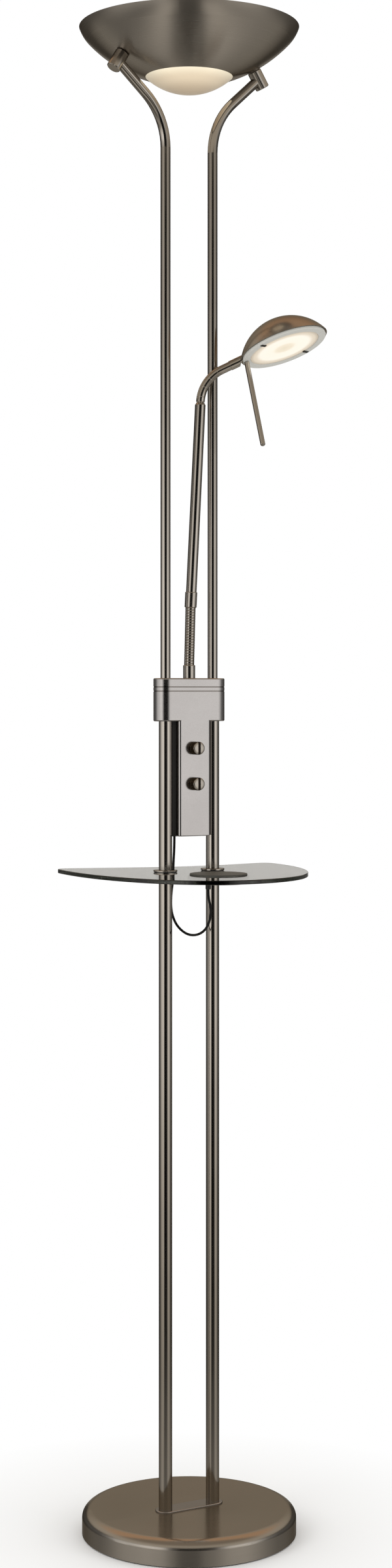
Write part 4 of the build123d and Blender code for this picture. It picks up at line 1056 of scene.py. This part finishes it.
# %% [markdown]
# One knob is modelled and the other is a copy with its own mesh. Each is put where its joint is,
# with its length along the spindle, and turns with its own body.

# %% Both knobs
upper_knob = model_knob("knob_upper_turned")
give_finish(upper_knob, "satin_nickel_knobs")
lower_knob = upper_knob.copy()
lower_knob.data = upper_knob.data.copy()
lower_knob.name = "knob_lower_turned"
bpy.context.scene.collection.objects.link(lower_knob)
for knob, level in ((upper_knob, "upper"), (lower_knob, "lower")):
    knob_back = joint_places[f"{level}_knob_turn"]
    settle(knob, frame_at(knob_back, (0, -1, 0), (1, 0, 0)))
    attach(knob, f"knob_{level}")
    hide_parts(f"dimmer_knob_{level}")
    print(knob.name, len(knob.data.vertices), "vertices at height", round(knob_back.z, 4))

# %% [markdown]
# ## The studio
# Satin metal shows its surroundings more than its own colour, so the surroundings are drawn with
# care, in the world's colour by direction. Two numbers describe a direction: how far round the
# room it points, to the right of the camera as seen from the lamp, and how high.

# %% Directions in the room
world = bpy.data.worlds.new("studio")
bpy.context.scene.world = world
world.use_nodes = True
sky = world.node_tree
way = add_node(sky, "ShaderNodeTexCoord").outputs["Generated"]
to_camera = -towards_lamp
to_right = Vector((towards_lamp.y, -towards_lamp.x, 0))


def along_world(direction):
    """How far the ray's direction goes along another one, from -1 to 1."""
    product = add_node(sky, "ShaderNodeVectorMath", operation="DOT_PRODUCT")
    sky.links.new(way, product.inputs[0])
    product.inputs[1].default_value = direction
    return product.outputs["Value"]


height = along_world((0, 0, 1))
sideways, forwards = along_world(to_right), along_world(to_camera)
turn = compute(sky, "ARCTAN2", sideways, forwards)
turn_share = stretch(sky, turn, -math.pi, math.pi, 0.0, 1.0)
print("the camera is towards", [round(part, 2) for part in to_camera])

# %% [markdown]
# ### Walls
# Upright poles and flat faces reflect the walls. To the left and the right of the lamp the walls
# are bright, and between them, where the photographer stands, the room is dark: that is the dark
# line down each pole. The back corners are dark too, and a bright strip stands behind the lamp.
# The stops are degrees and brightness, and a wall gets darker above and below eye level.

# %% Walls
WALL_WHITE = (1.0, 0.98, 0.95)
WALLS = [
    (-180, 0.7), (-170, 0.7), (-166, 0.15), (-108, 0.15), (-96, 0.32), (-78, 0.88), (-60, 1.05),
    (-42, 1.35), (-28, 1.15), (-19, 0.2), (-11, 0.005), (18, 0.005), (27, 0.12), (35, 0.6),
    (44, 1.15), (62, 1.25), (76, 0.8), (90, 0.32), (108, 0.15), (166, 0.15), (170, 0.7),
    (180, 0.7),
]
WALL_LEVELS = [
    (-1.0, (0.32, 0.3, 0.27)), (-0.26, (0.34, 0.32, 0.285)), (-0.2, (0.5, 0.48, 0.44)),
    (-0.12, (0.85, 0.84, 0.82)), (-0.03, (0.98, 0.98, 0.98)), (0.0, (1.0, 1.0, 1.0)),
    (0.04, (0.96, 0.96, 0.95)), (0.14, (0.5, 0.485, 0.46)), (0.2, (0.42, 0.4, 0.37)),
    (1.0, (0.42, 0.4, 0.37)),
]


def shaded(white, brightness):
    """A white made brighter or darker."""
    return tuple(brightness * part for part in white)


def room_strips(stops, white):
    """Ramp round the room from (degrees, brightness) stops."""
    colours = [((degrees + 180) / 360, shaded(white, level)) for degrees, level in stops]
    return colour_ramp(sky, turn_share, colours)


def from_minus_one(stops):
    """Stops from -1 to 1, moved to a ramp's 0 to 1."""
    return [((at + 1) / 2, colour) for at, colour in stops]


height_share = stretch(sky, height, -1.0, 1.0, 0.0, 1.0)
levels = colour_ramp(sky, height_share, from_minus_one(WALL_LEVELS))
walls = mix_colours(sky, 1.0, room_strips(WALLS, WALL_WHITE), levels, "MULTIPLY")
print("wall stops", len(WALLS), "level stops", len(WALL_LEVELS))

# %% [markdown]
# ### What is below
# The bowl and the foot reflect the floor. Its pattern runs sideways across the view, with two
# pale patches and darker ground between them, and farther behind the lamp it is one grey. Between
# walls and floor lies a band that changes only a little round the room, and the foot's side shows
# it.

# %% Floor as it is reflected
FLOOR_WHITE = (1.0, 0.94, 0.84)
LOW_STRIPS = [
    (-180, 0.3), (-110, 0.26), (-92, 0.3), (-70, 0.43), (-48, 0.46), (-36, 0.38), (-24, 0.26),
    (14, 0.24), (26, 0.32), (38, 0.42), (60, 0.43), (80, 0.38), (110, 0.26), (180, 0.3),
]
FLOOR_STRIPS = [
    (-1.0, 0.4), (-0.7, 0.14), (-0.56, 0.14), (-0.46, 0.34), (-0.38, 0.58), (-0.27, 0.62),
    (-0.18, 0.2), (-0.1, 0.09), (0.12, 0.09), (0.18, 0.24), (0.26, 0.64), (0.42, 0.58),
    (0.54, 0.36), (0.68, 0.3), (1.0, 0.4),
]
BEHIND_FLOOR = (0.36, 0.34, 0.3)
sideways_share = stretch(sky, sideways, -1.0, 1.0, 0.0, 1.0)
floor_colours = [(at, shaded(FLOOR_WHITE, level)) for at, level in FLOOR_STRIPS]
floor_strips = colour_ramp(sky, sideways_share, from_minus_one(floor_colours))
behind = stretch(sky, forwards, -0.38, -0.6, 0.0, 1.0)
far_floor = mix_colours(sky, behind, floor_strips, BEHIND_FLOOR)
steep = stretch(sky, height, -0.36, -0.48, 0.0, 1.0)
near_floor = mix_colours(sky, steep, room_strips(LOW_STRIPS, FLOOR_WHITE), far_floor)
below = stretch(sky, height, -0.25, -0.3, 0.0, 1.0)
walls_and_floor = mix_colours(sky, below, walls, near_floor)
print("floor stops", len(FLOOR_STRIPS) + len(LOW_STRIPS))

# %% [markdown]
# ### What is above
# High on the walls the light of the lamp itself makes them warm, and the ceiling is darker and
# warmer still, with an orange glow behind the lamp. The foot's top and the reading head show it.

# %% Warm walls and ceiling
WARM_WALL = (0.52, 0.465, 0.385)
CEILING = (0.28, 0.23, 0.175)
LIT_CEILING = (0.6, 0.385, 0.235)
CEILING_FROM, CEILING_FULL = 0.5, 0.75
above = stretch(sky, height, 0.2, 0.26, 0.0, 1.0)
with_warmth = mix_colours(sky, above, walls_and_floor, WARM_WALL)
over_lamp = stretch(sky, forwards, 0.05, -0.2, 0.0, 1.0)
ceiling = mix_colours(sky, over_lamp, CEILING, LIT_CEILING)
overhead = stretch(sky, height, CEILING_FROM, CEILING_FULL, 0.0, 1.0)
room = mix_colours(sky, overhead, with_warmth, ceiling)
print("the ceiling begins", round(math.degrees(math.asin(CEILING_FROM))), "degrees up")

# %% [markdown]
# Only reflected rays see that room. The rays that light the lamp evenly get a plain pale grey,
# and those that go straight to the camera, or through the glass, get white.

# %% Put the world together
EVEN_LIGHT = (0.9, 0.89, 0.87)
WHITE = (1.0, 1.0, 1.0)
ray = add_node(sky, "ShaderNodeLightPath").outputs
lit = mix_colours(sky, ray["Is Glossy Ray"], EVEN_LIGHT, room)
straight_on = compute(sky, "MAXIMUM", ray["Is Camera Ray"], ray["Is Transmission Ray"])
world_colour = mix_colours(sky, straight_on, lit, WHITE)
sky.links.new(world_colour, sky.nodes["Background"].inputs["Color"])
print("world nodes", len(sky.nodes))

# %% [markdown]
# ### Floor
# The floor is a wide white disc. Near the lamp it is a plain matt surface, which keeps the shadow
# of the foot. Farther out it turns into the white of the background, so no edge shows.
# Reflections leave it out, because the room that was drawn above has its own floor.

# %% Floor
FLOOR_RADIUS = 2.2
FLOOR_DROP = 0.6 * MM
MATT_UP_TO, WHITE_FROM = 0.17, 0.42
bpy.ops.mesh.primitive_circle_add(
    vertices=96, radius=FLOOR_RADIUS, fill_type="NGON", location=(0, 0, -FLOOR_DROP)
)
floor = settle(bpy.context.object)
floor.name = "floor"
_, tree, shader, place = new_material("floor_paint", (0.93, 0.93, 0.93), 0.9)
shader.inputs["Specular IOR Level"].default_value = 0.0
plain_white = add_node(tree, "ShaderNodeEmission")
far_out = distance_measure((0, 0, 0), 1.0)(tree, place)
blend_out = stretch(tree, far_out, MATT_UP_TO, WHITE_FROM, 0.0, 1.0)
mixed = add_node(tree, "ShaderNodeMixShader")
tree.links.new(blend_out, mixed.inputs[0])
tree.links.new(shader.outputs[0], mixed.inputs[1])
tree.links.new(plain_white.outputs[0], mixed.inputs[2])
tree.links.new(mixed.outputs[0], tree.nodes["Material Output"].inputs["Surface"])
give_finish(floor, "floor_paint")
floor.visible_glossy = False
print("floor", 2 * FLOOR_RADIUS, "m across")

# %% [markdown]
# ### Lamps
# Two large soft lamps stand to the left and the right of the camera, at a low level. They give
# the shadows a direction. Reflections leave them out, because the walls of the room are there for
# those.


# %% Soft lamps
def soft_lamp(name, degrees_right, distance, height_m, size, power):
    """A square lamp aimed at the middle of the piece, degrees_right of the camera."""
    angle = math.radians(degrees_right)
    side = to_camera * math.cos(angle) + to_right * math.sin(angle)
    spot = side * distance + Vector((0, 0, height_m))
    aim = (Vector((0, 0, 1.0)) - spot).to_track_quat("-Z", "Y").to_euler()
    bpy.ops.object.light_add(type="AREA", location=spot, rotation=aim)
    lamp = bpy.context.object
    lamp.name = name
    lamp.data.size = size
    lamp.data.energy = power
    lamp.visible_glossy = False
    return lamp


for lamp in (
    soft_lamp("soft_lamp_left", -50, 3.0, 2.2, 1.6, 18),
    soft_lamp("soft_lamp_right", 65, 3.0, 1.6, 1.4, 10),
):
    print(lamp.name, lamp.data.energy, "W")

# %% [markdown]
# ## Finish
# The colours are shown with Blender's Standard view transform.

# %% Finish
bpy.context.scene.view_settings.view_transform = "Standard"
